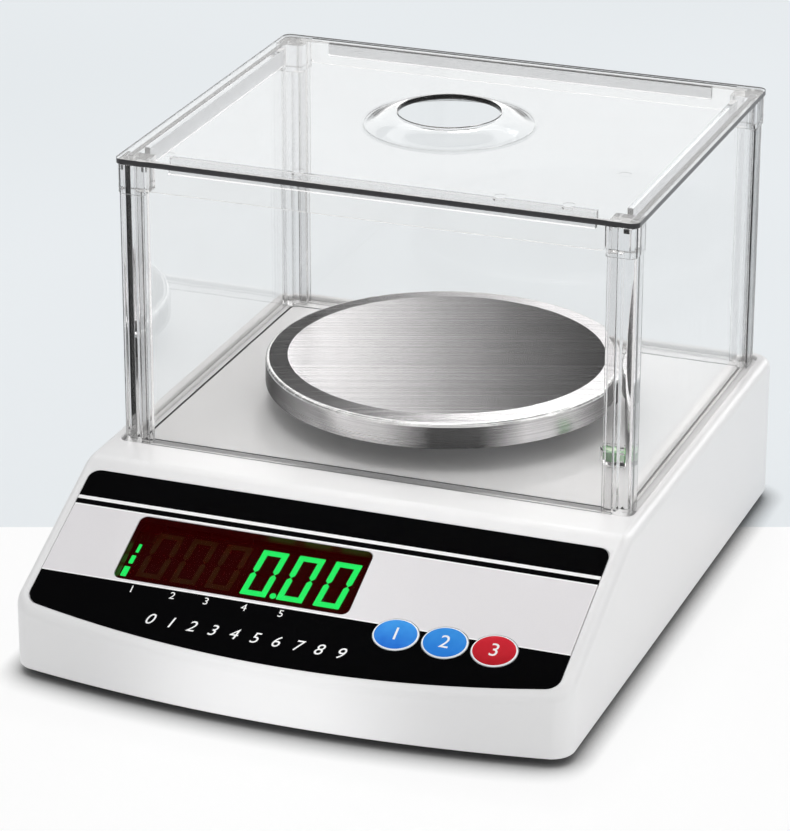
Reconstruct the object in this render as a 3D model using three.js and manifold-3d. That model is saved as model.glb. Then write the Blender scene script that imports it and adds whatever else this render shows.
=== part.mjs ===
// Electronic precision balance with a clear lift-off draft shield, round steel pan and sloped control panel.
// Lengths are millimetres. +Z is up, -Y is the front with the controls, and the origin lies on the table
// under the middle of the footprint.
import * as THREE from 'three';
import { mergeVertices } from 'three/addons/utils/BufferGeometryUtils.js';
import Module from 'manifold-3d';

const wasm = await Module();
wasm.setup();

// Fits shared by every piece
const fitGap = 0.3;
const overrun = 6;

// Weighing pan and what carries it
const panRadius = 65;
const panWall = 9.9;
const panClearance = 8.7;
const panSheet = 0.8;
const panBevel = 8;
const panBevelDrop = 0.6;
const panEdge = 1.2;
const padRadius = 5;
const padThickness = 2.6;
const padPinRadius = 1.7;
const padPinLength = 3;
const padInset = 11;
const armWidth = 12;
const armThickness = 4.5;
const hubRadius = 13;
const hubClearance = 2;
const stemRadius = 7;
const stemHoleRadius = 11;
const bracketPad = 2;
const bracketPlate = 4;
const bracketWidth = 26;
const bracketHeadroom = 8.45;
const weighGap = 0.45;

// Draft shield: its outside stands this far from the pan's edge
const shieldSideRoom = 28;
const shieldEndRoom = 12.3;
const postSize = 10.5;
const postHeight = 102.8;
const postCapHeight = 10.5;
const postCapStep = 0.4;
const postCorner = 1.8;
const postArm = 6;
const slotDepth = 4;
const panelThickness = 2;
const panelSetBack = 1.5;

// Lid of the shield
const lidThickness = 1.8;
const lidOverhang = 0.5;
const lidCorner = 3;
const ribThickness = 2;
const ribDepth = 6.5;
const ribEndGap = 5;
const lidSkirtDepth = 9;
const lidSkirtCorner = 1.5;
const domeRadius = 31.5;
const domeHoleRadius = 18;
const domeRise = 4.3;

// Moulded housing round the shield, and the recess that the shield stands in
const shieldSideMargin = 6;
const shieldBackMargin = 6;
const shieldFrontMargin = 16.9;
const slopeDepth = 72.5;
const slopeAngle = THREE.MathUtils.degToRad(25);
const frontBow = 10;
const cornerRadius = 8;
const edgeRadius = 3.5;
const creaseRadius = 10;
const skirtGap = 3;
const skirtEdge = 1;
const wall = 2.5;
const recessMargin = 1;
const recessDepth = 3;
const recessCorner = 3;
const floorSheet = 1.2;

// Load cell
const cellLength = 100;
const cellWidth = 22;
const cellHeight = 22;
const cellBoreRadius = 8;
const cellBoreSpacing = 26;
const cellSlot = 4;
const cellEnd = 28;
const cellScrewEdge = 8;
const cellScrewPitch = 12;
const mountBlockHeight = 4;
const basePad = 3;
const stopGap = 0.5;

// Base plate, levelling feet and screws
const plateSetUp = 0.5;
const plateThickness = 2.5;
const plateRim = 2;
const plateRimHeight = 6;
const footSideRoom = 2.2;
const footFrontInset = 44;
const footBackRoom = 3.2;
const footPadRadius = 8.5;
const footPadThickness = 2.4;
const footSpigotRadius = 3.7;
const footSpigotLength = 1.1;
const footWheelRadius = 11;
const footWheelThickness = 7;
const footFluteDepth = 0.6;
const footStudRadius = 3;
const footStudProud = 1;
const footWheelRoom = 1.5;
const footHeadroom = 0.8;
const footBossRadius = 6;
const footBossHeight = 3;
const screwRadius = 2;
const screwHeadRadius = 3.6;
const screwHeadHeight = 2.4;
const screwLength = 20;
const screwSideInset = 11;
const screwFromCup = 2.2;
const columnRadius = 4.5;
const screwBossHeight = 5.5;
const cellScrewRadius = 2.5;
const cellScrewHeadRadius = 4.2;
const cellScrewHead = 2.7;
const cellScrewDepth = 9;

// Control panel: places are measured down the slope from the crease, and across from the middle
const filmThickness = 0.5;
const filmProud = 0.2;
const filmSideMargin = 4.8;
const filmTop = 6.5;
const filmFrontMargin = 2.8;
const filmCorner = 4;
const windowWidth = 84.6;
const windowHeight = 27.8;
const windowCorner = 2.5;
const windowFlange = 2;
const windowFlangeThickness = 1.5;
const windowAcrossShare = -0.132;
const windowDownShare = 0.47;
const keyWidth = 15.8;
const keyHeight = 13.2;
const keySpacing = 1.3;
const keyThickness = 1;
const keyProud = 0.3;
const keyPocket = 0.7;
const keyPlungerRadius = 3.5;
const keyPlungerLength = 5.1;
const keySwitchGap = 0.6;
const keyAcrossShare = 0.177;
const keyDownShare = 0.704;
const switchSize = 6;
const switchBody = 3.5;
const switchPlungerRadius = 1.75;

// Display electronics under the slope
const digitWidth = 12.5;
const moduleHeight = 26;
const moduleThickness = 8;
const moduleInset = 2.7;
const indicatorWidth = 4;
const indicatorHeight = 17;
const indicatorSpacing = 1.5;
const indicatorDrop = 5.8;
const displayBoardMargin = 19;
const displayBoardHeight = 46;
const displayBoardDrop = 5.4;
const boardThickness = 1.6;
const standoffRadius = 3;
const standoffPinRadius = 1.2;
const standoffInset = 3.4;

// Main board, battery and leads
const mainBoardWidth = 58;
const mainBoardDepth = 90;
const mainBoardLift = 6;
const mainBoardSideInset = 12;
const mainBoardBackRoom = 2.5;
const canWidth = 24;
const canDepth = 25;
const canHeight = 5.6;
const chipSize = 9;
const chipHeight = 1.2;
const capacitorRadius = 4;
const capacitorHeight = 12;
const connectorDepth = 4.8;
const connectorHeight = 5;
const connectorEndWidth = 1.6;
const leadConnectorLength = 10;
const canPlaceShares = [0, 0.17];
const chipPlaceShares = [-0.17, -0.12];
const capacitorPlaceShares = [0.25, -0.25];
const batteryWidth = 51;
const batteryLength = 97;
const batteryHeight = 24;
const batterySideInset = 15.5;
const batteryBackRoom = 1;
const batteryTabWidth = 4.8;
const batteryTabLength = 6.4;
const batteryTabHeight = 1.2;
const strapWidth = 16;
const strapThickness = 1.2;
const strapFoot = 8;
const cableRadius = 1.4;
const ribbonWidth = 20;
const ribbonThickness = 1;
const ribbonLoop = 6;

// Rear pocket with the power inlet and the switch, left of the middle as seen from the front
const pocketWidth = 60;
const pocketHeight = 22;
const pocketDepth = 5;
const pocketLift = 0.5;
const jackInset = 14;
const jackBody = 11;
const jackBodyDepth = 12;
const jackNeckRadius = 4;
const jackBoreRadius = 3;
const jackBoreDepth = 9;
const jackPinRadius = 1.05;
const switchInset = 18;
const switchWidth = 19;
const switchTall = 13;
const switchBodyDepth = 13;
const bezelRim = 1.5;
const bezelThickness = 1.5;
const rockerTilt = THREE.MathUtils.degToRad(10);
const rockerRadius = 22;
const rockerWall = 1.6;
const rockerPinRadius = 1.2;
const rockerPinEnd = 0.9;

// Spirit level on the chamber floor
const levelSideInset = 20;
const levelFrontInset = 46.6;
const levelRadius = 8;
const levelHeight = 6;
const levelWall = 1.5;
const levelBase = 1.5;
const vialShoulderShare = 0.7;

// Counts
const digitCount = 3;
const fluteCount = 18;
const fineSides = 48;
const roundSides = 20;
const smallSides = 10;
const hexagonSides = 6;
const ovalSteps = 8;
const cornerSteps = 3;
const edgeSteps = 3;
const creaseSteps = 3;
const leadSteps = 12;
const bowSteps = 6;
const domeSteps = 4;

// Levels, from the table up
const plateBottom = skirtGap + plateSetUp;
const plateTop = plateBottom + plateThickness;
const blockBottom = plateTop + basePad + fitGap;
const cellBottom = blockBottom + mountBlockHeight + fitGap;
const cellTop = cellBottom + cellHeight;
const bracketBottom = cellTop + weighGap;
const bracketTop = bracketBottom + bracketPad + bracketPlate;
const recessFloor = bracketTop + bracketHeadroom + wall;
const deckHeight = recessFloor + recessDepth;
const floorTop = recessFloor + fitGap + floorSheet;
const shieldBase = floorTop + fitGap;
const panSkirt = floorTop + panClearance;
const panTop = panSkirt + panWall;
const padTop = panTop - panSheet - fitGap;
const armTop = padTop - padThickness;
const stemTop = armTop - armThickness;

// Plan sizes, from the pan outwards
const shieldWidth = 2 * (panRadius + shieldSideRoom);
const shieldDepth = 2 * (panRadius + shieldEndRoom);
const housingWidth = shieldWidth + 2 * shieldSideMargin;
const housingDepth = slopeDepth + shieldFrontMargin + shieldDepth + shieldBackMargin;
const backY = housingDepth / 2;
const creaseY = slopeDepth - backY;
const shieldY = backY - shieldBackMargin - shieldDepth / 2;
const bowRadius = ((housingWidth / 2) ** 2 + frontBow ** 2) / (2 * frontBow);
const bowCentreY = bowRadius - backY;
const padCircleRadius = panRadius - padInset;
const cellFrontY = shieldY - cellLength / 2;
const cellBackY = shieldY + cellLength / 2;

// Places on the slope
const slopeLength = slopeDepth / Math.cos(slopeAngle);
const filmHalfWidth = housingWidth / 2 - filmSideMargin;
const windowX = housingWidth * windowAcrossShare;
const windowDown = slopeLength * windowDownShare;
const keyDown = slopeLength * keyDownShare;
const keyPlaces = [0, 1, 2].map((index) => housingWidth * keyAcrossShare + index * (keyWidth + keySpacing));
const moduleWidth = digitCount * digitWidth;
const moduleX = windowX + windowWidth / 2 - moduleInset - moduleWidth;
const indicatorX = moduleX - moduleWidth - indicatorSpacing - indicatorWidth / 2;
const indicatorDown = windowDown + indicatorDrop;
const displayBoardWidth = housingWidth - 2 * displayBoardMargin;
const displayBoardDown = windowDown + displayBoardDrop;
const filmRecess = filmThickness - filmProud + fitGap;
const moduleFace = -(wall + fitGap + windowFlangeThickness + fitGap);
const displayBoardTop = moduleFace - moduleThickness - fitGap;
const displayBoardBottom = displayBoardTop - boardThickness;
const keyTop = filmProud + keyProud;
const connectorWidth = ribbonWidth + 2 * connectorEndWidth;
const keyPlungerFoot = keyTop - keyPlungerLength - keyThickness / 2;

// Places inside and at the back
const footCupRadius = footWheelRadius + footWheelRoom;
const footCupOutside = footCupRadius + wall;
const footX = housingWidth / 2 - wall - fitGap - footCupOutside - footSideRoom;
const footFrontY = footFrontInset - backY;
const footBackY = backY - wall - fitGap - footCupOutside - footBackRoom;
const footCupDepth = footPadThickness + fitGap + footWheelThickness + footHeadroom - plateBottom;
const footCupTop = plateBottom + footCupDepth + wall;
const footStudTop = footCupTop + footBossHeight + footStudProud;
const screwX = housingWidth / 2 - screwSideInset;
const screwReach = footCupOutside + columnRadius + fitGap + screwFromCup;
const columnFront = footBackY - screwReach - columnRadius;
const mainBoardX = housingWidth / 2 - mainBoardSideInset - mainBoardWidth / 2;
const mainBoardY = columnFront - mainBoardBackRoom - mainBoardDepth / 2;
const mainBoardBottom = plateTop + mainBoardLift;
const mainBoardTop = mainBoardBottom + boardThickness;
const batteryX = batterySideInset + batteryWidth / 2 - housingWidth / 2;
const batteryY = columnFront - batteryBackRoom - batteryLength / 2;
const pocketX = -pocketWidth / 2;
const pocketZ = footCupTop + pocketLift + wall + pocketHeight / 2;
const pocketFace = backY - pocketDepth;
const jackX = pocketX - pocketWidth / 2 + jackInset;
const switchX = pocketX + pocketWidth / 2 - switchInset;
const rockerPinLength = switchTall - 2 * rockerWall + 2 * rockerPinEnd;
const levelX = shieldWidth / 2 - levelSideInset;
const levelY = shieldY - shieldDepth / 2 + levelFrontInset;

const footPlaces = [-1, 1].flatMap((side) => [
  [side * footX, footFrontY],
  [side * footX, footBackY],
]);
const screwPlaces = [-1, 1].flatMap((side) => [
  [side * screwX, footFrontY + screwReach],
  [side * screwX, footBackY - screwReach],
]);
const lowerScrewPlaces = [0, 1].map((index) => cellFrontY + cellScrewEdge + index * cellScrewPitch);
const upperScrewPlaces = [0, 1].map((index) => cellBackY - cellScrewEdge - index * cellScrewPitch);
const padPlaces = [1, 3, 5, 7].map((eighth) => {
  const angle = eighth * Math.PI / 4;
  return [padCircleRadius * Math.cos(angle), padCircleRadius * Math.sin(angle)];
});
const mainBoardPosts = [-1, 1].flatMap((side) => [-1, 1].map((end) => [
  mainBoardX + side * (mainBoardWidth / 2 - standoffInset),
  mainBoardY + end * (mainBoardDepth / 2 - standoffInset),
]));

// The display board hangs on four standoffs: two low ones at its ends, and two high ones right of the window
const standoffX = displayBoardWidth / 2 - standoffInset;
const standoffRise = displayBoardHeight / 2 - standoffInset;
const displayStandoffs = [
  [-standoffX, -displayBoardDown - standoffRise],
  [standoffX, -displayBoardDown - standoffRise],
  [standoffX, -displayBoardDown + standoffRise],
  [windowX + windowWidth / 2 + windowFlange + 2 * standoffRadius, -displayBoardDown + standoffRise],
];

// Geometry to a closed solid and back

function toSolid(geometry) {
  const bare = geometry.clone();
  bare.deleteAttribute('normal');
  bare.deleteAttribute('uv');
  const merged = mergeVertices(bare);
  const corners = merged.index.array;
  const kept = [];
  for (let face = 0; face < corners.length; face += 3) {
    const [a, b, c] = [corners[face], corners[face + 1], corners[face + 2]];
    if (a !== b && b !== c && c !== a) {
      kept.push(a, b, c);
    }
  }
  const vertProperties = new Float32Array(merged.attributes.position.array);
  const triVerts = new Uint32Array(kept);
  return new wasm.Manifold(new wasm.Mesh({ numProp: 3, vertProperties, triVerts }));
}

function toGeometry(solid) {
  const { vertProperties, triVerts } = solid.getMesh();
  const geometry = new THREE.BufferGeometry();
  geometry.setAttribute('position', new THREE.BufferAttribute(new Float32Array(vertProperties), 3));
  geometry.setIndex(new THREE.BufferAttribute(new Uint32Array(triVerts), 1));
  geometry.computeVertexNormals();
  return geometry;
}

function combine(first, rest, operation) {
  return toGeometry(rest.reduce((sum, piece) => sum[operation](toSolid(piece)), toSolid(first)));
}

const join = (first, ...rest) => combine(first, rest, 'add');
const cut = (first, ...rest) => combine(first, rest, 'subtract');

// Plain shapes, each standing on z = 0 unless it is told where to start

function box(width, depth, height, x = 0, y = 0, z = 0) {
  return new THREE.BoxGeometry(width, depth, height).translate(x, y, z + height / 2);
}

function rod(radius, height, x = 0, y = 0, z = 0, sides = smallSides) {
  const geometry = new THREE.CylinderGeometry(radius, radius, height, sides);
  return geometry.rotateX(Math.PI / 2).translate(x, y, z + height / 2);
}

function rodAlongY(radius, length, x, y, z, sides = smallSides) {
  return new THREE.CylinderGeometry(radius, radius, length, sides).translate(x, y + length / 2, z);
}

function spun(profile, sides = roundSides) {
  const points = profile.map(([radius, height]) => new THREE.Vector2(radius, height));
  return new THREE.LatheGeometry(points, sides).rotateX(Math.PI / 2);
}

function slab(shape, height, z = 0, curveSegments = cornerSteps) {
  const geometry = new THREE.ExtrudeGeometry(shape, { depth: height, bevelEnabled: false, curveSegments });
  return geometry.translate(0, 0, z);
}

function polygon(points) {
  return new THREE.Shape(points.map(([x, y]) => new THREE.Vector2(x, y)));
}

function roundedRectangle(width, height, radius, x = 0, y = 0) {
  const [right, top] = [x + width / 2, y + height / 2];
  const [left, bottom] = [x - width / 2, y - height / 2];
  const shape = new THREE.Shape();
  shape.absarc(right - radius, bottom + radius, radius, -Math.PI / 2, 0);
  shape.absarc(right - radius, top - radius, radius, 0, Math.PI / 2);
  shape.absarc(left + radius, top - radius, radius, Math.PI / 2, Math.PI);
  shape.absarc(left + radius, bottom + radius, radius, Math.PI, Math.PI * 1.5);
  return shape;
}

function oval(width, height, x, y) {
  const shape = new THREE.Shape();
  shape.absellipse(x, y, width / 2, height / 2, 0, Math.PI * 2);
  return shape;
}

// Housing outline and surface

// Height of a surface that lies depth below the outer top, at one place from front to back.
function surfaceHeight(y, depth) {
  const radius = creaseRadius - depth;
  const arcY = creaseY + creaseRadius * Math.tan(slopeAngle / 2);
  const arcZ = deckHeight - creaseRadius;
  const lowerY = arcY - radius * Math.sin(slopeAngle);
  if (y >= arcY) {
    return arcZ + radius;
  }
  if (y > lowerY) {
    return arcZ + Math.sqrt(radius ** 2 - (y - arcY) ** 2);
  }
  return arcZ + radius * Math.cos(slopeAngle) + (y - lowerY) * Math.tan(slopeAngle);
}

// Right half of the plan outline drawn in by inset, from the bowed front round to the back corner.
function halfOutline(inset, depth) {
  const side = housingWidth / 2 - inset;
  const cornerX = housingWidth / 2 - cornerRadius;
  const reach = bowRadius - cornerRadius;
  const turn = Math.asin(cornerX / reach);
  const frontCornerY = bowCentreY - Math.sqrt(reach ** 2 - cornerX ** 2);
  const backCornerY = backY - cornerRadius;
  const [bow, corner] = [bowRadius - inset, cornerRadius - inset];
  const points = [];
  for (let step = 0; step <= bowSteps; step++) {
    const angle = turn * step / bowSteps;
    points.push([bow * Math.sin(angle), bowCentreY - bow * Math.cos(angle)]);
  }
  for (let step = 1; step <= edgeSteps; step++) {
    const angle = turn + (Math.PI / 2 - turn) * step / edgeSteps;
    points.push([cornerX + corner * Math.sin(angle), frontCornerY - corner * Math.cos(angle)]);
  }
  const arcY = creaseY + creaseRadius * Math.tan(slopeAngle / 2);
  for (let step = creaseSteps; step >= 0; step--) {
    const angle = slopeAngle * step / creaseSteps;
    points.push([side, arcY - (creaseRadius - depth) * Math.sin(angle)]);
  }
  for (let step = 0; step <= edgeSteps; step++) {
    const angle = Math.PI / 2 * step / edgeSteps;
    points.push([cornerX + corner * Math.cos(angle), backCornerY + corner * Math.sin(angle)]);
  }
  return points;
}

function fullOutline(inset, depth = 0) {
  const half = halfOutline(inset, depth);
  const mirrored = half.slice(1).reverse().map(([x, y]) => [-x, y]);
  return [...half, ...mirrored];
}

// The housing's form as a closed solid: rings of the outline up the wall and over the rounded edge,
// and a top of strips across from side to side, so that the crease over the panel stays clean.
function housingForm(inset, depth, radius, bottom, bottomEdge) {
  const rings = [[inset + bottomEdge, () => bottom]];
  if (bottomEdge > 0) {
    rings.push([inset, () => bottom + bottomEdge]);
  }
  for (let step = 0; step <= edgeSteps; step++) {
    const angle = Math.PI / 2 * step / edgeSteps;
    const drop = radius * (1 - Math.sin(angle));
    rings.push([inset + radius * (1 - Math.cos(angle)), (y) => surfaceHeight(y, depth) - drop]);
  }
  const outlines = rings.map(([ringInset, height]) => {
    return fullOutline(ringInset, depth).map(([x, y]) => [x, y, height(y)]);
  });
  const count = outlines[0].length;
  const lastRing = (outlines.length - 1) * count;
  const faces = [];
  for (let ring = 0; ring < outlines.length - 1; ring++) {
    for (let at = 0; at < count; at++) {
      const [a, b] = [ring * count + at, ring * count + (at + 1) % count];
      faces.push(a, b, b + count, a, b + count, a + count);
    }
  }
  const half = (count - 1) / 2;
  for (let at = 0; at < half; at++) {
    const [right, nextRight] = [at, at + 1];
    const [left, nextLeft] = [(count - at) % count, count - at - 1];
    faces.push(lastRing + right, lastRing + nextRight, lastRing + nextLeft);
    faces.push(right, nextLeft, nextRight);
    if (at > 0) {
      faces.push(lastRing + right, lastRing + nextLeft, lastRing + left);
      faces.push(right, left, nextLeft);
    }
  }
  const geometry = new THREE.BufferGeometry();
  geometry.setAttribute('position', new THREE.Float32BufferAttribute(outlines.flat(2), 3));
  geometry.setIndex(faces);
  return geometry;
}

// Control panel frame: x across, y up the slope from the crease, z out of the surface
const panelFrame = new THREE.Matrix4().makeTranslation(0, creaseY, deckHeight);
panelFrame.multiply(new THREE.Matrix4().makeRotationX(slopeAngle));

const onPanel = (geometry) => geometry.applyMatrix4(panelFrame);

// Turns a slab so that its outline lies in the side view, with x of the outline along Y and y upwards
const sideways = new THREE.Matrix4().makeBasis(
  new THREE.Vector3(0, 1, 0), new THREE.Vector3(0, 0, 1), new THREE.Vector3(1, 0, 0),
);

function filmLowerEdge(x) {
  const bowY = bowCentreY - Math.sqrt(bowRadius ** 2 - x ** 2);
  return -(creaseY - bowY - filmFrontMargin) / Math.cos(slopeAngle);
}

// Outline of the printed film, with its lower edge bowed like the front of the housing.
function filmOutline(grow) {
  const half = filmHalfWidth + grow;
  const top = grow - filmTop;
  const low = filmLowerEdge(half) - grow;
  const inner = half - filmCorner;
  const shape = new THREE.Shape();
  shape.moveTo(inner, top);
  shape.lineTo(-inner, top);
  shape.quadraticCurveTo(-half, top, -half, top - filmCorner);
  shape.lineTo(-half, low + filmCorner);
  shape.quadraticCurveTo(-half, low, -inner, filmLowerEdge(inner) - grow);
  for (let step = 1; step <= 2 * bowSteps; step++) {
    const x = -inner + inner * step / bowSteps;
    shape.lineTo(x, filmLowerEdge(x) - grow);
  }
  shape.quadraticCurveTo(half, low, half, low + filmCorner);
  shape.lineTo(half, top - filmCorner);
  shape.quadraticCurveTo(half, top, inner, top);
  return shape;
}

function windowOutline(grow) {
  const [width, height] = [windowWidth + 2 * grow, windowHeight + 2 * grow];
  return roundedRectangle(width, height, windowCorner + grow, windowX, -windowDown);
}

// Upper housing: one white moulding with the shield recess, film recess, rear pocket and screw columns
function upperHousing() {
  const outer = housingForm(0, 0, edgeRadius, skirtGap, skirtEdge);
  const recessWidth = shieldWidth + 2 * recessMargin;
  const recessLength = shieldDepth + 2 * recessMargin;
  const recessShape = roundedRectangle(recessWidth, recessLength, recessCorner, 0, shieldY);
  const [trayWidth, trayLength] = [recessWidth + 2 * wall, recessLength + 2 * wall];
  const trayShape = roundedRectangle(trayWidth, trayLength, recessCorner, 0, shieldY);
  const columnFoot = plateBottom + screwBossHeight + fitGap;
  const columns = screwPlaces.map(([x, y]) => rod(columnRadius, deckHeight, x, y, columnFoot));
  const standoffs = displayStandoffs.flatMap(([x, y]) => [
    onPanel(rod(standoffRadius, deckHeight, x, y, displayBoardTop + fitGap)),
    onPanel(rod(standoffPinRadius, deckHeight, x, y, displayBoardBottom - fitGap)),
  ]);
  const pocketOuter = box(pocketWidth + 2 * wall, 2 * (pocketDepth + wall), pocketHeight + 2 * wall,
    pocketX, backY, pocketZ - pocketHeight / 2 - wall);
  const innerEdge = edgeRadius - wall;
  const hollow = cut(
    housingForm(wall, wall, innerEdge, skirtGap - overrun, 0),
    slab(trayShape, recessDepth + overrun, recessFloor - wall),
    pocketOuter, ...columns, ...standoffs,
  );
  const pocket = box(pocketWidth, 2 * pocketDepth, pocketHeight, pocketX, backY, pocketZ - pocketHeight / 2);
  const jackHole = rodAlongY(jackNeckRadius + fitGap, 2 * pocketDepth + overrun, jackX,
    backY - 2 * pocketDepth - overrun, pocketZ);
  const switchHole = box(switchWidth + 2 * fitGap, 2 * pocketDepth + overrun, switchTall + 2 * fitGap,
    switchX, backY - pocketDepth, pocketZ - switchTall / 2 - fitGap);
  const keyCuts = keyPlaces.flatMap((x) => [
    onPanel(slab(oval(keyWidth + 2 * fitGap, keyHeight + 2 * fitGap, x, -keyDown), overrun,
      -filmRecess - keyPocket, ovalSteps)),
    onPanel(rod(keyPlungerRadius + fitGap, 2 * overrun, x, -keyDown, -overrun)),
  ]);
  const screwCuts = screwPlaces.map(([x, y]) => {
    return rod(screwRadius + fitGap, screwLength + overrun, x, y, columnFoot - overrun);
  });
  return cut(
    outer, hollow,
    slab(recessShape, recessDepth + overrun, recessFloor),
    rod(stemHoleRadius, wall + 2 * overrun, 0, shieldY, recessFloor - wall - overrun, roundSides),
    onPanel(slab(filmOutline(fitGap), overrun, -filmRecess)),
    onPanel(slab(windowOutline(fitGap), wall + 2 * overrun, -wall - overrun)),
    pocket, jackHole, switchHole, ...keyCuts, ...screwCuts,
  );
}

// Base plate: sits up inside the skirt, with foot cups, screw bosses and seats for what it carries
function basePlate() {
  const inset = wall + fitGap;
  const plate = slab(polygon(fullOutline(inset)), plateThickness, plateBottom);
  const rimOuter = slab(polygon(fullOutline(inset)), plateThickness + plateRimHeight, plateBottom);
  const rimInner = slab(polygon(fullOutline(inset + plateRim)), plateRimHeight + overrun, plateTop);
  const bosses = screwPlaces.map(([x, y]) => rod(columnRadius + fitGap, screwBossHeight, x, y, plateBottom));
  const cups = footPlaces.flatMap(([x, y]) => [
    rod(footCupOutside, footCupDepth + wall, x, y, plateBottom, roundSides),
    rod(footBossRadius, footCupDepth + wall + footBossHeight, x, y, plateBottom),
  ]);
  const cellSeat = box(cellWidth + 2 * basePad, cellEnd, plateThickness + basePad, 0,
    cellFrontY + cellEnd / 2, plateBottom);
  const stopY = cellBackY - cellScrewEdge;
  const stopBoss = rod(columnRadius + wall, plateThickness + basePad, 0, stopY, plateBottom);
  const boardPosts = mainBoardPosts.flatMap(([x, y]) => [
    rod(standoffRadius, plateThickness + mainBoardLift - fitGap, x, y, plateBottom),
    rod(standoffPinRadius, plateThickness + mainBoardLift + boardThickness + fitGap, x, y, plateBottom),
  ]);
  const body = join(cut(rimOuter, rimInner), plate, ...bosses, ...cups, cellSeat, stopBoss, ...boardPosts);
  const screwHoles = screwPlaces.flatMap(([x, y]) => [
    rod(screwRadius + fitGap, screwBossHeight + 2 * overrun, x, y, plateBottom - overrun),
    rod(screwHeadRadius + fitGap, screwHeadHeight + fitGap + overrun, x, y, plateBottom - overrun),
  ]);
  const footHoles = footPlaces.flatMap(([x, y]) => [
    rod(footCupRadius, footCupDepth + overrun, x, y, plateBottom - overrun, roundSides),
    rod(footStudRadius + fitGap, footStudTop, x, y, plateBottom),
  ]);
  const cellHoles = lowerScrewPlaces.flatMap((y) => [
    rod(cellScrewRadius + fitGap, basePad + plateThickness + overrun, 0, y, plateBottom),
    rod(cellScrewHeadRadius + fitGap, cellScrewHead + fitGap + overrun, 0, y, plateBottom - overrun),
  ]);
  const stopHole = rod(cellScrewRadius + fitGap, plateThickness + basePad + overrun, 0, stopY,
    plateBottom + plateThickness / 2);
  return cut(body, ...screwHoles, ...footHoles, ...cellHoles, stopHole);
}

// Grey floor plate of the weighing chamber, which the shield stands on
function chamberFloor() {
  const gap = recessMargin - fitGap;
  const [width, depth] = [shieldWidth + 2 * gap, shieldDepth + 2 * gap];
  const sheet = slab(roundedRectangle(width, depth, recessCorner - fitGap, 0, shieldY), floorSheet,
    floorTop - floorSheet);
  const hole = rod(stemHoleRadius, floorSheet + 2 * overrun, 0, shieldY, floorTop - overrun, roundSides);
  return cut(sheet, hole);
}

// Shield post with its outer corner at the origin: an L section with a slot in each arm, and a full cap
function shieldPost() {
  const section = (near, far, inner) => {
    const shape = new THREE.Shape();
    const corner = postCorner + near;
    shape.absarc(near + corner, near + corner, corner, Math.PI, Math.PI * 1.5);
    shape.lineTo(far, near);
    shape.lineTo(far, inner);
    shape.lineTo(inner, inner);
    shape.lineTo(inner, far);
    shape.lineTo(near, far);
    return shape;
  };
  const shaft = slab(section(postCapStep, postSize - postCapStep, postArm), postHeight);
  const capShape = polygon([
    [0, postCorner], [postCorner, 0], [postSize, 0], [postSize, postSize], [0, postSize],
  ]);
  const cap = slab(capShape, postCapHeight, postHeight - postCapHeight);
  const slotWidth = panelThickness + 2 * fitGap;
  const slotFar = postSize - slotDepth;
  const slotMiddle = panelSetBack + panelThickness / 2;
  const tall = postHeight + 2 * overrun;
  const reach = slotDepth + overrun;
  return cut(
    join(shaft, cap),
    box(reach, slotWidth, tall, slotFar + reach / 2, slotMiddle, -overrun),
    box(slotWidth, reach, tall, slotMiddle, slotFar + reach / 2, -overrun),
  );
}

// Clear panel, standing along x with its middle at the origin
function shieldPanel(span) {
  const width = span - 2 * (postSize - slotDepth + fitGap);
  return box(width, panelThickness, postHeight);
}

// Lid: a sheet with four locating ribs, a skirt at front and back, and a raised dome with a round hole
function shieldLid() {
  const [width, depth] = [shieldWidth + 2 * lidOverhang, shieldDepth + 2 * lidOverhang];
  const sheet = slab(roundedRectangle(width, depth, lidCorner), lidThickness);
  const opening = rod(domeRadius - lidThickness, lidThickness + 2 * overrun, 0, 0, -overrun, roundSides);
  const ringWidth = domeRadius - domeHoleRadius;
  const outer = Array.from({ length: domeSteps + 1 }, (_, step) => {
    const share = step / domeSteps;
    return [domeRadius - share * ringWidth, lidThickness + domeRise * (1 - (1 - share) ** 2)];
  });
  const inner = outer.slice().reverse().map(([radius, height]) => [radius, height - lidThickness]);
  const ring = spun([...outer, ...inner, outer[0]]);
  const ribPlace = panelSetBack + panelThickness + 2 * fitGap + ribThickness / 2;
  const ribX = shieldWidth / 2 - ribPlace;
  const ribY = shieldDepth / 2 - ribPlace;
  const sideRib = shieldDepth - 2 * (postSize + ribEndGap);
  const frontRib = shieldWidth - 2 * (postSize + ribEndGap);
  const ribHeight = ribDepth + lidThickness / 2;
  const skirtThickness = panelSetBack - fitGap;
  const skirtWidth = shieldWidth - 2 * (postSize + fitGap);
  const skirtShape = polygon([
    [-skirtWidth / 2, lidThickness / 2], [-skirtWidth / 2, lidSkirtCorner - lidSkirtDepth],
    [lidSkirtCorner - skirtWidth / 2, -lidSkirtDepth], [skirtWidth / 2 - lidSkirtCorner, -lidSkirtDepth],
    [skirtWidth / 2, lidSkirtCorner - lidSkirtDepth], [skirtWidth / 2, lidThickness / 2],
  ]);
  const skirtY = shieldDepth / 2 - skirtThickness;
  const skirts = [-1, 1].map((end) => {
    const skirt = slab(skirtShape, skirtThickness).rotateX(Math.PI / 2);
    return end > 0 ? skirt.translate(0, skirtY + skirtThickness, 0) : skirt.translate(0, -skirtY, 0);
  });
  const ribs = [-1, 1].flatMap((side) => [
    box(ribThickness, sideRib, ribHeight, side * ribX, 0, -ribDepth),
    box(frontRib, ribThickness, ribHeight, 0, side * ribY, -ribDepth),
  ]);
  return join(cut(sheet, opening), ring, ...ribs, ...skirts);
}

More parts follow.
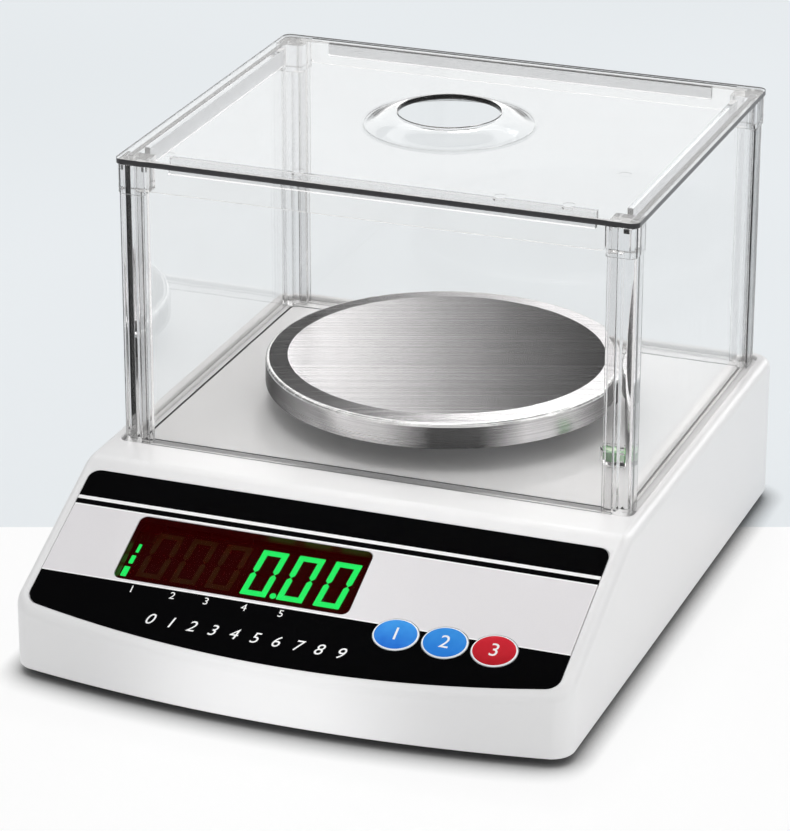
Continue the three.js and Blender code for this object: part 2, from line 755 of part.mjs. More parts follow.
// Weighing pan: pressed from sheet, with a low bevel round the flat and a turned-down wall
function weighingPan() {
  const flat = panRadius - panBevel;
  const profile = [[0, panWall], [flat, panWall], [panRadius - panEdge, panWall - panBevelDrop]];
  const arc = (radius) => Array.from({ length: edgeSteps }, (_, index) => {
    const angle = Math.PI / 2 * (index + 1) / edgeSteps;
    const centreX = panRadius - panEdge;
    const centreZ = panWall - panBevelDrop - panEdge;
    return [centreX + radius * Math.sin(angle), centreZ + radius * Math.cos(angle)];
  });
  profile.push(...arc(panEdge), [panRadius, 0], [panRadius - panSheet, 0]);
  profile.push(...arc(panEdge - panSheet).reverse());
  profile.push([panRadius - panEdge, panWall - panBevelDrop - panSheet], [flat, panWall - panSheet]);
  profile.push([0, panWall - panSheet]);
  return spun(profile.reverse(), fineSides);
}

// Cross that carries the pan: four arms on a hub that drops over the stem
function panSupport() {
  const arms = [1, 3].map((quarter) => {
    const shape = roundedRectangle(2 * padCircleRadius + armWidth, armWidth, armWidth / 2 - fitGap);
    return slab(shape, armThickness, stemTop - fitGap).rotateZ(quarter * Math.PI / 4);
  });
  const hubBottom = floorTop + hubClearance;
  const hub = rod(hubRadius, armTop - fitGap - hubBottom, 0, 0, hubBottom, roundSides);
  const socket = rod(stemRadius + fitGap, stemTop + fitGap - hubBottom + overrun, 0, 0,
    hubBottom - overrun, roundSides);
  const pinFloor = armTop - padPinLength - 2 * fitGap;
  const pinHoles = padPlaces.map(([x, y]) => {
    return rod(padPinRadius + fitGap, padPinLength + overrun, x, y, pinFloor);
  });
  return cut(join(hub, ...arms), socket, ...pinHoles);
}

// Silicone pad, a button with a pin that plugs into an arm
function panPad() {
  const bevel = padPinRadius / 2;
  return spun([
    [0, -padPinLength], [padPinRadius, -padPinLength], [padPinRadius, 0], [padRadius, 0],
    [padRadius, padThickness - bevel], [padRadius - bevel, padThickness], [0, padThickness],
  ], smallSides);
}

// Bracket on the free end of the load cell, with the stem that comes up through the deck
function loadBracket() {
  const [front, back] = [shieldY - bracketWidth / 2, cellBackY];
  const plateFloor = bracketBottom + bracketPad;
  const thickness = bracketPad + bracketPlate;
  const pad = box(cellWidth, cellEnd, thickness, 0, back - cellEnd / 2, bracketBottom);
  const plate = box(bracketWidth, back - front, bracketPlate, 0, (back + front) / 2, plateFloor);
  const stem = rod(stemRadius, stemTop - plateFloor, 0, shieldY, plateFloor, roundSides);
  const collar = rod(stemRadius + bracketPad, thickness, 0, shieldY, plateFloor, roundSides);
  const holes = upperScrewPlaces.map((y) => {
    return rod(cellScrewRadius + fitGap, thickness + 2 * overrun, 0, y, bracketBottom - overrun);
  });
  return cut(join(pad, plate, stem, collar), ...holes);
}

// Load cell: an aluminium beam thinned by two bores joined with a slot, and tapped at both ends
function loadCell() {
  const beam = box(cellWidth, cellLength, cellHeight, 0, shieldY, cellBottom);
  const middle = cellBottom + cellHeight / 2;
  const bores = [-1, 1].map((end) => {
    const y = shieldY + end * cellBoreSpacing / 2;
    const width = cellWidth + 2 * overrun;
    const bore = new THREE.CylinderGeometry(cellBoreRadius, cellBoreRadius, width, roundSides);
    return bore.rotateZ(Math.PI / 2).translate(0, y, middle);
  });
  const slot = box(cellWidth + 2 * overrun, cellBoreSpacing, cellSlot, 0, shieldY, middle - cellSlot / 2);
  const lower = lowerScrewPlaces.map((y) => {
    return rod(cellScrewRadius + fitGap, cellScrewDepth + fitGap + overrun, 0, y, cellBottom - overrun);
  });
  const upper = upperScrewPlaces.map((y) => {
    const floor = cellTop - cellScrewDepth - 2 * fitGap - weighGap;
    return rod(cellScrewRadius + fitGap, cellScrewDepth + overrun, 0, y, floor);
  });
  return cut(beam, ...bores, slot, ...lower, ...upper);
}

function mountBlock() {
  const block = box(cellWidth, cellEnd, mountBlockHeight, 0, cellFrontY + cellEnd / 2, blockBottom);
  return cut(block, ...lowerScrewPlaces.map((y) => {
    return rod(cellScrewRadius + fitGap, mountBlockHeight + 2 * overrun, 0, y, blockBottom - overrun);
  }));
}

// Cap screw with its head at the bottom and a hexagon socket in it
function capScrew(radius, headRadius, head, length) {
  const body = spun([
    [0, 0], [headRadius, 0], [headRadius, head], [radius, head], [radius, length], [0, length],
  ], smallSides);
  return cut(body, rod(radius, head / 2 + overrun, 0, 0, -overrun, hexagonSides));
}

// Levelling foot: a fluted wheel with a spigot below and a stud above
function footScrew() {
  const outline = new THREE.Shape();
  for (let step = 0; step < 2 * fluteCount; step++) {
    const angle = Math.PI * step / fluteCount;
    const radius = footWheelRadius - (step % 2) * footFluteDepth;
    outline[step ? 'lineTo' : 'moveTo'](radius * Math.cos(angle), radius * Math.sin(angle));
  }
  const wheelBottom = footPadThickness + fitGap;
  const wheel = slab(outline, footWheelThickness, wheelBottom);
  const stud = rod(footStudRadius, footStudTop - wheelBottom, 0, 0, wheelBottom);
  const spigot = rod(footSpigotRadius, footSpigotLength + wall, 0, 0, wheelBottom - footSpigotLength);
  return join(wheel, stud, spigot);
}

function footPad() {
  const floor = footPadThickness - footSpigotLength;
  const [side, lip] = [footPadRadius, footSpigotRadius + fitGap];
  return spun([
    [0, 0], [side - floor / 2, 0], [side, floor / 2], [side, footPadThickness],
    [lip, footPadThickness], [lip, floor], [0, floor],
  ]);
}

// Main board with its shield can, converter, capacitor and two connectors
function mainBoard() {
  const sunk = mainBoardTop - boardThickness / 2;
  const rise = boardThickness / 2;
  const place = ([across, along]) => [
    mainBoardX + across * mainBoardWidth,
    mainBoardY + along * mainBoardDepth,
  ];
  const board = box(mainBoardWidth, mainBoardDepth, boardThickness, mainBoardX, mainBoardY, mainBoardBottom);
  const ribbonEnd = mainBoardY - mainBoardDepth / 2 + connectorDepth / 2 + rise;
  const leadEnd = mainBoardX - mainBoardWidth / 2 + connectorDepth / 2 + rise;
  const parts = [
    box(canWidth, canDepth, canHeight + rise, ...place(canPlaceShares), sunk),
    box(chipSize, chipSize, chipHeight + rise, ...place(chipPlaceShares), sunk),
    rod(capacitorRadius, capacitorHeight + rise, ...place(capacitorPlaceShares), sunk),
    box(connectorWidth, connectorDepth, connectorHeight + rise, mainBoardX, ribbonEnd, sunk),
    box(connectorDepth, leadConnectorLength, connectorHeight + rise, leadEnd, leadY(), sunk),
  ];
  const holes = mainBoardPosts.map(([x, y]) => {
    return rod(standoffPinRadius + fitGap, boardThickness + 2 * overrun, x, y, mainBoardBottom - overrun);
  });
  return cut(join(board, ...parts), ...holes);
}

function leadY() {
  return mainBoardY - mainBoardDepth / 4;
}

// Display board in the panel frame, with its ribbon connector underneath
function displayBoard() {
  const sunk = boardThickness / 2;
  const [width, height] = [displayBoardWidth, displayBoardHeight];
  const board = box(width, height, boardThickness, 0, -displayBoardDown, displayBoardBottom);
  const connector = box(connectorWidth, connectorDepth, connectorHeight + sunk, mainBoardX, ribbonDown(),
    displayBoardBottom - connectorHeight);
  const holes = displayStandoffs.map(([x, y]) => {
    return rod(standoffPinRadius + fitGap, boardThickness + 2 * overrun, x, y, displayBoardBottom - overrun);
  });
  return cut(join(board, connector), ...holes);
}

function ribbonDown() {
  return displayBoardHeight / 4 - displayBoardDown;
}

// Ribbon lead from the main board's connector forward and up to the display board's connector
function displayRibbon() {
  const connectorFace = displayBoardBottom - connectorHeight - fitGap;
  const end = new THREE.Vector3(0, ribbonDown(), connectorFace).applyMatrix4(panelFrame);
  const startY = mainBoardY - mainBoardDepth / 2 + boardThickness / 2 - fitGap;
  const startZ = mainBoardTop + connectorHeight / 2;
  const path = new THREE.CatmullRomCurve3([
    new THREE.Vector3(0, startY, startZ),
    new THREE.Vector3(0, startY - ribbonLoop, startZ),
    new THREE.Vector3(0, (startY + end.y) / 2, (startZ + end.z) / 2 - ribbonThickness),
    new THREE.Vector3(0, end.y + ribbonLoop / 2, end.z - ribbonLoop),
    new THREE.Vector3(0, end.y, end.z),
  ]).getPoints(smallSides);
  const upper = path.map((point) => [point.y, point.z]);
  const lower = path.map((point, index) => {
    const before = path[Math.max(index - 1, 0)];
    const after = path[Math.min(index + 1, path.length - 1)];
    const along = after.clone().sub(before).normalize();
    return [point.y + along.z * ribbonThickness, point.z - along.y * ribbonThickness];
  });
  const strip = slab(polygon([...upper, ...lower.reverse()]), ribbonWidth, -ribbonWidth / 2);
  return strip.applyMatrix4(sideways).translate(mainBoardX, 0, 0);
}

// Screened lead from the side of the load cell to its connector on the main board
function loadCellLead() {
  const socketX = mainBoardX - mainBoardWidth / 2 + boardThickness / 2;
  const startX = cellWidth / 2 + fitGap;
  const startY = cellFrontY + cellEnd / 2;
  const startZ = cellBottom + cellHeight / 2;
  const endZ = mainBoardTop + connectorHeight / 2;
  const reach = 4 * cableRadius;
  const path = new THREE.CatmullRomCurve3([
    new THREE.Vector3(startX, startY, startZ),
    new THREE.Vector3(startX + reach, startY, startZ),
    new THREE.Vector3(socketX - reach / 2, leadY(), endZ),
    new THREE.Vector3(socketX - fitGap, leadY(), endZ),
  ]);
  const section = new THREE.Shape();
  section.absarc(0, 0, cableRadius, 0, Math.PI * 2);
  return new THREE.ExtrudeGeometry(section, {
    extrudePath: path, steps: leadSteps, curveSegments: cornerSteps,
  });
}

// Sealed battery block with its two terminal tabs
function battery() {
  const block = box(batteryWidth, batteryLength, batteryHeight);
  const tabs = [-1, 1].map((side) => box(
    batteryTabWidth, batteryTabLength, 2 * batteryTabHeight,
    side * batteryWidth / 4, batteryLength / 2 - batteryTabLength, batteryHeight - batteryTabHeight,
  ));
  return join(block, ...tabs);
}

// Steel strap along the battery, with a foot on the base plate at each end
function batteryStrap() {
  const inner = batteryLength / 2 + fitGap;
  const outer = inner + strapThickness;
  const top = batteryHeight + 2 * fitGap;
  const foot = outer + strapFoot;
  const shape = polygon([
    [-foot, fitGap], [-inner, fitGap], [-inner, top], [inner, top], [inner, fitGap], [foot, fitGap],
    [foot, fitGap + strapThickness], [outer, fitGap + strapThickness], [outer, top + strapThickness],
    [-outer, top + strapThickness], [-outer, fitGap + strapThickness], [-foot, fitGap + strapThickness],
  ]);
  return slab(shape, strapWidth, -strapWidth / 2).applyMatrix4(sideways);
}

// Power inlet: a socket body behind the pocket, with its neck through the wall and a pin in the bore
function powerInlet() {
  const bodyFront = pocketFace - wall - fitGap - jackBodyDepth;
  const bodyMiddle = bodyFront + jackBodyDepth / 2;
  const body = box(jackBody, jackBodyDepth, jackBody, jackX, bodyMiddle, pocketZ - jackBody / 2);
  const mouth = pocketFace + 2 * fitGap;
  const boreFloor = mouth - jackBoreDepth;
  const neck = rodAlongY(jackNeckRadius, mouth - bodyMiddle, jackX, bodyMiddle, pocketZ);
  const bore = rodAlongY(jackBoreRadius, jackBoreDepth + overrun, jackX, boreFloor, pocketZ);
  const pin = rodAlongY(jackPinRadius, jackBoreDepth, jackX, boreFloor - jackPinRadius, pocketZ);
  return join(cut(join(body, neck), bore), pin);
}

// Power switch: a frame through the wall, with the rocker in it on a cross pin
function switchFrame() {
  const back = pocketFace + fitGap;
  const body = box(switchWidth, switchBodyDepth, switchTall, switchX, back - switchBodyDepth / 2,
    pocketZ - switchTall / 2);
  const rim = box(switchWidth + 2 * bezelRim, bezelThickness, switchTall + 2 * bezelRim, switchX,
    back + bezelThickness / 2, pocketZ - switchTall / 2 - bezelRim);
  const [width, height] = [switchWidth - 2 * rockerWall, switchTall - 2 * rockerWall];
  const cavity = box(width, switchBodyDepth + overrun, height, switchX,
    back + bezelThickness + (overrun - switchBodyDepth) / 2, pocketZ - height / 2);
  const pinHole = rod(rockerPinRadius + fitGap, rockerPinLength + 2 * fitGap, switchX, pocketFace,
    pocketZ - rockerPinLength / 2 - fitGap);
  return cut(join(body, rim), cavity, pinHole);
}

// Rocker on its cross pin: a dished face between two raised ends
function rocker() {
  const halfLength = switchWidth / 2 - rockerWall - 2 * fitGap;
  const width = switchTall - 2 * rockerWall - 2 * fitGap;
  const rise = 2 * bezelThickness;
  const shape = new THREE.Shape();
  const dish = Math.asin(halfLength / rockerRadius);
  const centre = rise + rockerRadius * Math.cos(dish);
  shape.absarc(0, centre, rockerRadius, -Math.PI / 2 + dish, -Math.PI / 2 - dish, true);
  shape.lineTo(-halfLength / 2, -rise);
  shape.lineTo(halfLength / 2, -rise);
  const pin = rod(rockerPinRadius, rockerPinLength, 0, 0, -rockerPinLength / 2);
  return join(slab(shape, width, -width / 2, ovalSteps), pin);
}

// Spirit level: a cup on the chamber floor with the domed glass seated in it
function levelCup() {
  return spun([
    [0, 0], [levelRadius, 0], [levelRadius, levelHeight], [levelRadius - levelWall, levelHeight],
    [levelRadius - levelWall, levelBase], [0, levelBase],
  ]);
}

function levelVial() {
  const radius = levelRadius - levelWall - fitGap;
  const side = levelHeight - levelWall / 2;
  return spun([[0, levelBase + fitGap], [radius, levelBase + fitGap], [radius, side],
    [radius * vialShoulderShare, side + levelWall / 3], [0, side + levelWall / 2]]);
}

// Printed film with its openings for the window and the keys
function filmSheet() {
  const shape = filmOutline(0);
  shape.holes.push(windowOutline(fitGap));
  for (const x of keyPlaces) {
    shape.holes.push(oval(keyWidth + 2 * fitGap, keyHeight + 2 * fitGap, x, -keyDown));
  }
  return slab(shape, filmThickness, filmProud - filmThickness, ovalSteps);
}

// Tinted window: the plug fills the opening, and the flange bears on the housing from inside
function displayWindow() {
  const plug = slab(windowOutline(0), wall + filmProud + 2 * fitGap, -wall - 2 * fitGap);
  const flange = slab(windowOutline(windowFlange), windowFlangeThickness, moduleFace + fitGap);
  return join(plug, flange);
}

// Key: an oval cap flush with the film, with a plunger down to its switch
function keyCap(x) {
  const cap = slab(oval(keyWidth, keyHeight, x, -keyDown), keyThickness, keyTop - keyThickness, ovalSteps);
  const plunger = rod(keyPlungerRadius, keyPlungerLength, x, -keyDown, keyPlungerFoot);
  return join(cap, plunger);
}

function keySwitch(x) {
  const bottom = displayBoardTop + fitGap;
  const body = box(switchSize, switchSize, switchBody, x, -keyDown, bottom);
  const plunger = rod(switchPlungerRadius, keyPlungerFoot - keySwitchGap - bottom, x, -keyDown, bottom);
  return join(body, plunger);
}

// Potted block of lit digits; the second one stands to the right of the first
function ledModule(index) {
  const x = moduleX + (index - 1 / 2) * moduleWidth;
  return box(moduleWidth - fitGap, moduleHeight, moduleThickness, x, -windowDown,
    moduleFace - moduleThickness);
}

function indicatorBlock() {
  return box(indicatorWidth, indicatorHeight, moduleThickness, indicatorX, -indicatorDown,
    moduleFace - moduleThickness);
}

// Materials

const finish = (color, roughness, metalness = 0) => {
  return new THREE.MeshStandardMaterial({ color, roughness, metalness });
};
const whitePlastic = () => finish(0xf0f1f2, 0.45);
const greyPlastic = () => finish(0x6d7073, 0.6);
const blackPlastic = () => finish(0x17181a, 0.5);
const floorPaint = () => finish(0xc9cccf, 0.7);
const steel = () => finish(0xc6c8ca, 0.3, 1);
const brightSteel = () => finish(0xd6d8da, 0.2, 1);
const aluminium = () => finish(0xb9bcbf, 0.4, 1);
const rubber = () => finish(0x222426, 0.9);
const silicone = () => finish(0xd9dad8, 0.7);
const boardGreen = () => finish(0x1d5a35, 0.5);

function clearAcrylic(color = 0xe9eef0, opacity = 0.25) {
  const material = finish(color, 0.05);
  material.transparent = true;
  material.opacity = opacity;
  return material;
}

const balance = new THREE.Group();

function addPart(name, geometry, material, parent = balance) {
  const mesh = new THREE.Mesh(geometry, material);
  mesh.name = name;
  parent.add(mesh);
  return mesh;
}

// Housing and base
addPart('upper_housing', upperHousing(), whitePlastic());
addPart('base_plate', basePlate(), greyPlastic());
addPart('chamber_floor', chamberFloor(), floorPaint());

const cornerNames = ['front_left', 'back_left', 'front_right', 'back_right'];

screwPlaces.forEach(([x, y], index) => {
  const screw = capScrew(screwRadius, screwHeadRadius, screwHeadHeight, screwLength);
  addPart(`housing_screw_${cornerNames[index]}`, screw, steel()).position.set(x, y, plateBottom + fitGap);
});

footPlaces.forEach(([x, y], index) => {
  const foot = new THREE.Group();
  foot.position.set(x, y, 0);
  addPart(`foot_pad_${cornerNames[index]}`, footPad(), rubber(), foot);
  addPart(`foot_screw_${cornerNames[index]}`, footScrew(), blackPlastic(), foot);
  balance.add(foot);
});

// Shield
const shield = new THREE.Group();
shield.position.set(0, shieldY, shieldBase);
balance.add(shield);

for (const corner of cornerNames) {
  const post = addPart(`shield_post_${corner}`, shieldPost(), clearAcrylic(), shield);
  const sideX = corner.endsWith('left') ? -1 : 1;
  const sideY = corner.startsWith('front') ? -1 : 1;
  post.position.set(sideX * shieldWidth / 2, sideY * shieldDepth / 2, 0);
  post.rotation.z = Math.atan2(sideY, sideX) + Math.PI * 3 / 4;
}

const panelMiddle = panelSetBack + panelThickness / 2;
for (const [name, sideY] of [['front', -1], ['back', 1]]) {
  const panel = addPart(`shield_panel_${name}`, shieldPanel(shieldWidth), clearAcrylic(), shield);
  panel.position.y = sideY * (shieldDepth / 2 - panelMiddle);
}
for (const [name, sideX] of [['left', -1], ['right', 1]]) {
  const panel = addPart(`shield_panel_${name}`, shieldPanel(shieldDepth), clearAcrylic(), shield);
  panel.position.x = sideX * (shieldWidth / 2 - panelMiddle);
  panel.rotation.z = Math.PI / 2;
}
addPart('shield_lid', shieldLid(), clearAcrylic(), shield).position.z = postHeight + fitGap;

// Weighing train
const train = new THREE.Group();
train.position.set(0, shieldY, 0);
balance.add(train);
addPart('weighing_pan', weighingPan(), brightSteel(), train).position.z = panSkirt;
addPart('pan_support', panSupport(), aluminium(), train);
padPlaces.forEach(([x, y], index) => {
  addPart(`pan_pad_${index + 1}`, panPad(), silicone(), train).position.set(x, y, armTop);
});
addPart('load_bracket', loadBracket(), aluminium());
addPart('load_cell', loadCell(), aluminium());
addPart('cell_mount_block', mountBlock(), aluminium());
lowerScrewPlaces.forEach((y, index) => {
  const length = cellBottom + cellScrewDepth - plateBottom - fitGap;
  const screw = capScrew(cellScrewRadius, cellScrewHeadRadius, cellScrewHead, length);
  addPart(`cell_screw_${index + 1}`, screw, steel()).position.set(0, y, plateBottom + fitGap);
});
upperScrewPlaces.forEach((y, index) => {
  const top = bracketTop + fitGap + cellScrewHead;
  const length = top - cellTop + cellScrewDepth - fitGap - weighGap;
  const screw = addPart(`bracket_screw_${index + 1}`,
    capScrew(cellScrewRadius, cellScrewHeadRadius, cellScrewHead, length), steel());
  screw.position.set(0, y, top);
  screw.rotation.x = Math.PI;
});
const stopTop = cellBottom - stopGap;
const stopHead = stopTop - plateTop - basePad - fitGap;
const stopLength = stopTop - plateBottom - plateThickness / 2 - fitGap;
const stopScrew = capScrew(cellScrewRadius, cellScrewHeadRadius, stopHead, stopLength);
const overloadStop = addPart('overload_stop', stopScrew, steel());
overloadStop.position.set(0, cellBackY - cellScrewEdge, stopTop);
overloadStop.rotation.x = Math.PI;

// Electronics and power
addPart('main_board', mainBoard(), boardGreen());
addPart('load_cell_lead', loadCellLead(), greyPlastic());
addPart('display_ribbon', displayRibbon(), greyPlastic());
addPart('battery', battery(), blackPlastic()).position.set(batteryX, batteryY, plateTop + fitGap);
addPart('battery_strap', batteryStrap(), steel()).position.set(batteryX, batteryY, plateTop);
addPart('power_inlet', powerInlet(), blackPlastic());
addPart('power_switch_frame', switchFrame(), blackPlastic());
const powerRocker = addPart('power_rocker', rocker(), blackPlastic());
powerRocker.position.set(switchX, pocketFace, pocketZ);
powerRocker.rotation.z = rockerTilt;

// Spirit level
addPart('level_cup', levelCup(), whitePlastic()).position.set(levelX, levelY, floorTop + fitGap);
const vial = addPart('level_vial', levelVial(), clearAcrylic(0x3fbf6a, 0.6));
vial.position.set(levelX, levelY, floorTop + fitGap);

// Control panel
const panel = new THREE.Group();
panel.applyMatrix4(panelFrame);
balance.add(panel);
addPart('panel_film', filmSheet(), finish(0x111214, 0.35), panel);
addPart('display_window', displayWindow(), clearAcrylic(0x240404, 0.85), panel);
addPart('display_board', displayBoard(), boardGreen(), panel);
for (const [name, index] of [['left', 0], ['right', 1]]) {
  addPart(`led_module_${name}`, ledModule(index), blackPlastic(), panel);
}
addPart('led_indicators', indicatorBlock(), blackPlastic(), panel);
const keyColours = [0x1d86d8, 0x1d86d8, 0xd8232f];
keyPlaces.forEach((x, index) => {
  addPart(`key_${index + 1}`, keyCap(x), finish(keyColours[index], 0.4), panel);
  addPart(`key_switch_${index + 1}`, keySwitch(x), blackPlastic(), panel);
});

export default balance;
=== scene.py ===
import math
import bmesh
import bpy
from mathutils import Matrix, Vector


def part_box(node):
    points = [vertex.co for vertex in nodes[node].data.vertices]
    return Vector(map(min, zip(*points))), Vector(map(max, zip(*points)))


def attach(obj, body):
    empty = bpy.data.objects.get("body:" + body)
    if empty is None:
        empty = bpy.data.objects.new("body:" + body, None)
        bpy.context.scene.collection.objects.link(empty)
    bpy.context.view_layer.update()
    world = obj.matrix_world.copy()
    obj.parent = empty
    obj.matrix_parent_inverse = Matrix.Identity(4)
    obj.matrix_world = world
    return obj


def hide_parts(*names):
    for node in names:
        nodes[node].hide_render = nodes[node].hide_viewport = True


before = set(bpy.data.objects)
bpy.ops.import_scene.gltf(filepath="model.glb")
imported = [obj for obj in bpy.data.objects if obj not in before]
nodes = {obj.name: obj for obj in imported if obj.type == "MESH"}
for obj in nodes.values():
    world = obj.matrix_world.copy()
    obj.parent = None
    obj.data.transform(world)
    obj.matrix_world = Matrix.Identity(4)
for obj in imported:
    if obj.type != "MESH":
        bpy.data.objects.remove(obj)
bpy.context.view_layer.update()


# Base plate
# A grey moulded plate that closes the housing from below, with a rim, cups for the feet and ribs.
# It is matt, with the fine even grain that a spark-eroded mould leaves.
mm = 0.001


class Signal:
    """A shader socket. Arithmetic on signals adds the Math nodes for it."""

    def __init__(self, tree, socket=None):
        self.tree = tree
        self.socket = socket

    def node(self, kind, settings=None, sockets=None, output=0):
        made = self.tree.nodes.new("ShaderNode" + kind)
        for name, value in (settings or {}).items():
            if name == "stops":
                ramp = made.color_ramp
                ramp.elements[0].position, ramp.elements[1].position = value[0][0], value[-1][0]
                for place, _ in value[1:-1]:
                    ramp.elements.new(place)
                for element, (_, colour) in zip(ramp.elements, value):
                    element.color = (*colour, 1)
            else:
                setattr(made, name, value)
        for name, value in (sockets or {}).items():
            if isinstance(value, Signal):
                self.tree.links.new(value.socket, made.inputs[name])
            else:
                made.inputs[name].default_value = value
        return Signal(self.tree, made.outputs[output] if made.outputs else None)

    def output(self, name):
        return Signal(self.tree, self.socket.node.outputs[name])

    def position(self):
        """The place on the piece itself: its X, Y and Z in metres."""
        axes = self.node("SeparateXYZ", {}, {0: self.node("TexCoord", output="Object")})
        return [axes.output(name) for name in "XYZ"]

    def bump(self, strength, depth, height):
        return self.node("Bump", {}, {"Strength": strength, "Distance": depth, "Height": height})

    def surface(self, sockets):
        """Ends the material with one shader that has these sockets."""
        self.node("OutputMaterial", {}, {"Surface": self.node("BsdfPrincipled", {}, sockets)})

    def maths(self, operation, *values):
        return self.node("Math", {"operation": operation}, dict(enumerate(values)))

    def mix(self, factor, first, second):
        colours = {0: factor, 6: first, 7: second}
        return self.node("Mix", {"data_type": "RGBA"}, colours, output=2)

    def __add__(self, other):
        return self.maths("ADD", self, other)

    def __sub__(self, other):
        return self.maths("SUBTRACT", self, other)

    def __rsub__(self, other):
        return self.maths("SUBTRACT", other, self)

    def __mul__(self, other):
        return self.maths("MULTIPLY", self, other)

    def __truediv__(self, other):
        return self.maths("DIVIDE", self, other)

    def __pow__(self, other):
        return self.maths("POWER", self, other)

    def __gt__(self, other):
        return self.maths("GREATER_THAN", self, other)

    def __lt__(self, other):
        return self.maths("LESS_THAN", self, other)

    def __abs__(self):
        return self.maths("ABSOLUTE", self)

    __radd__ = __add__
    __rmul__ = __mul__


def rgb(red, green, blue):
    """A colour as it is seen on a screen, 0 to 255, turned into the light that a shader takes."""
    return (*[((part / 255 + 0.055) / 1.055) ** 2.4 if part > 10 else part / 3300
              for part in (red, green, blue)], 1)


def new_finish(name):
    """An empty material, and the signal that starts its nodes."""
    material = bpy.data.materials.new(name)
    material.use_nodes = True
    material.node_tree.nodes.clear()
    return material, Signal(material.node_tree)


def grain(start, scale, stretch=(1, 1, 1), detail=3.0):
    """Noise over the piece, from 0 to 1, in metres of its own coordinates."""
    place = start.node("TexCoord", output="Object")
    stretched = start.node("Mapping", {}, {"Vector": place, "Scale": stretch})
    return start.node("TexNoise", {}, {"Vector": stretched, "Scale": scale, "Detail": detail})


def moulded(name, colour, darker, roughness, skin=900, depth=0.02 * mm):
    """Moulded plastic or rubber: a fine skin, a slow drift of tone, and gloss that follows the skin."""
    material, start = new_finish(name)
    skin_noise = grain(start, skin)
    drift = grain(start, 28, detail=1.5)
    start.surface({
        "Base Color": start.mix(drift * 0.75 + skin_noise * 0.25, darker, colour),
        "Roughness": roughness - 0.01 + skin_noise * 0.02,
        "Normal": start.bump(0.5, depth, skin_noise)})
    return material


def dress(material, *pieces):
    """Gives a material to pieces, or to CAD nodes by their names."""
    for piece in pieces:
        piece = nodes[piece] if isinstance(piece, str) else piece
        if not piece.material_slots:
            piece.data.materials.append(material)
        for slot in piece.material_slots:
            slot.material = material


grey_plastic = moulded("grey_moulding", rgb(176, 178, 181), rgb(158, 160, 164), 0.55, skin=1400)
dress(grey_plastic, "base_plate")


# Levelling feet and housing screws
# Black moulded wheels, each with an M6 stud through a nut in the base plate, carry flat rubber pads.
# Four zinc plated screws go up through the base plate and close the housing.
corners = ["front_left", "back_left", "front_right", "back_right"]
black_plastic = moulded("black_moulding", rgb(44, 45, 48), rgb(33, 34, 37), 0.45, skin=1600)
black_rubber = moulded("foot_rubber", rgb(34, 34, 35), rgb(25, 25, 26), 0.8, skin=2200, depth=0.05 * mm)


def metal(name, colour, darker, roughness, scratch=(1, 1, 1), scale=500):
    """Bare or plated metal: scratches along one way, and tone and gloss that follow them."""
    material, start = new_finish(name)
    lines = grain(start, scale, scratch, 4)
    cloud = grain(start, 45, detail=2)
    start.surface({
        "Base Color": start.mix(lines * 0.6 + cloud * 0.4, darker, colour), "Metallic": 1.0,
        "Roughness": roughness - 0.08 + lines * 0.16, "Normal": start.bump(0.4, 0.01 * mm, lines)})
    return material


zinc = metal("zinc_plate", rgb(212, 214, 218), rgb(176, 179, 186), 0.34, scale=700)
dress(black_plastic, *["foot_screw_" + corner for corner in corners])
dress(black_rubber, *["foot_pad_" + corner for corner in corners])
dress(zinc, *["housing_screw_" + corner for corner in corners])


# Load cell, its block and its bracket
# A milled aluminium beam is screwed to a block at its front and carries the bracket at its back.
# The cutter has left fine lines along the beam, and the steel cap screws are zinc plated.
milled = metal("milled_aluminium", rgb(214, 216, 219), rgb(184, 187, 192), 0.36, (1, 0.04, 1), 900)
dress(milled, "load_cell", "cell_mount_block", "load_bracket", "pan_support")
dress(zinc, "cell_screw_1", "cell_screw_2", "bracket_screw_1", "bracket_screw_2", "overload_stop")
dress(grey_plastic, "load_cell_lead", "display_ribbon")


# Circuit boards
# Glass cloth boards under green solder mask. Copper runs under the mask show as lighter lines on a
# fixed pitch, and the parts on the boards stand a few millimetres high.
def circuit_board(name, board_top, board_low, across):
    """Mask on the board itself, and black or metal on what stands on it, told apart by height."""
    material, start = new_finish(name)
    x, y, z = start.position()
    height = z * math.cos(across) - y * math.sin(across)
    cells = {"Vector": start.node("TexCoord", output="Object"), "Scale": 160.0}
    block = start.node("TexVoronoi", {"distance": "MANHATTAN"}, cells, output="Distance")
    runs = ((x * 400).maths("FRACT", x * 400) < 0.3) * (block > 0.32)
    cross = ((y * 400).maths("FRACT", y * 400) < 0.3) * (block < 0.22)
    copper = runs.maths("MAXIMUM", runs, cross)
    mask = start.mix(copper, rgb(20, 92, 52), rgb(34, 124, 74))
    above = (height > board_top) + (height < board_low)
    parts = start.mix(grain(start, 90) > 0.5, rgb(30, 30, 33), rgb(190, 192, 196))
    start.surface({
        "Base Color": start.mix(above, mask, parts), "Roughness": 0.28 + above * 0.2,
        "Normal": start.bump(0.4, 0.04 * mm, copper)})
    return material


dress(circuit_board("main_board_mask", 13.65 * mm, 11.9 * mm, 0), "main_board")
slope = math.radians(25)
deck, crease = 56 * mm, -52.5 * mm
board_face = deck * math.cos(slope) - crease * math.sin(slope) - 12.85 * mm
dress(circuit_board("display_board_mask", board_face, board_face - 1.7 * mm, slope), "display_board")
dress(black_plastic, "key_switch_1", "key_switch_2", "key_switch_3")


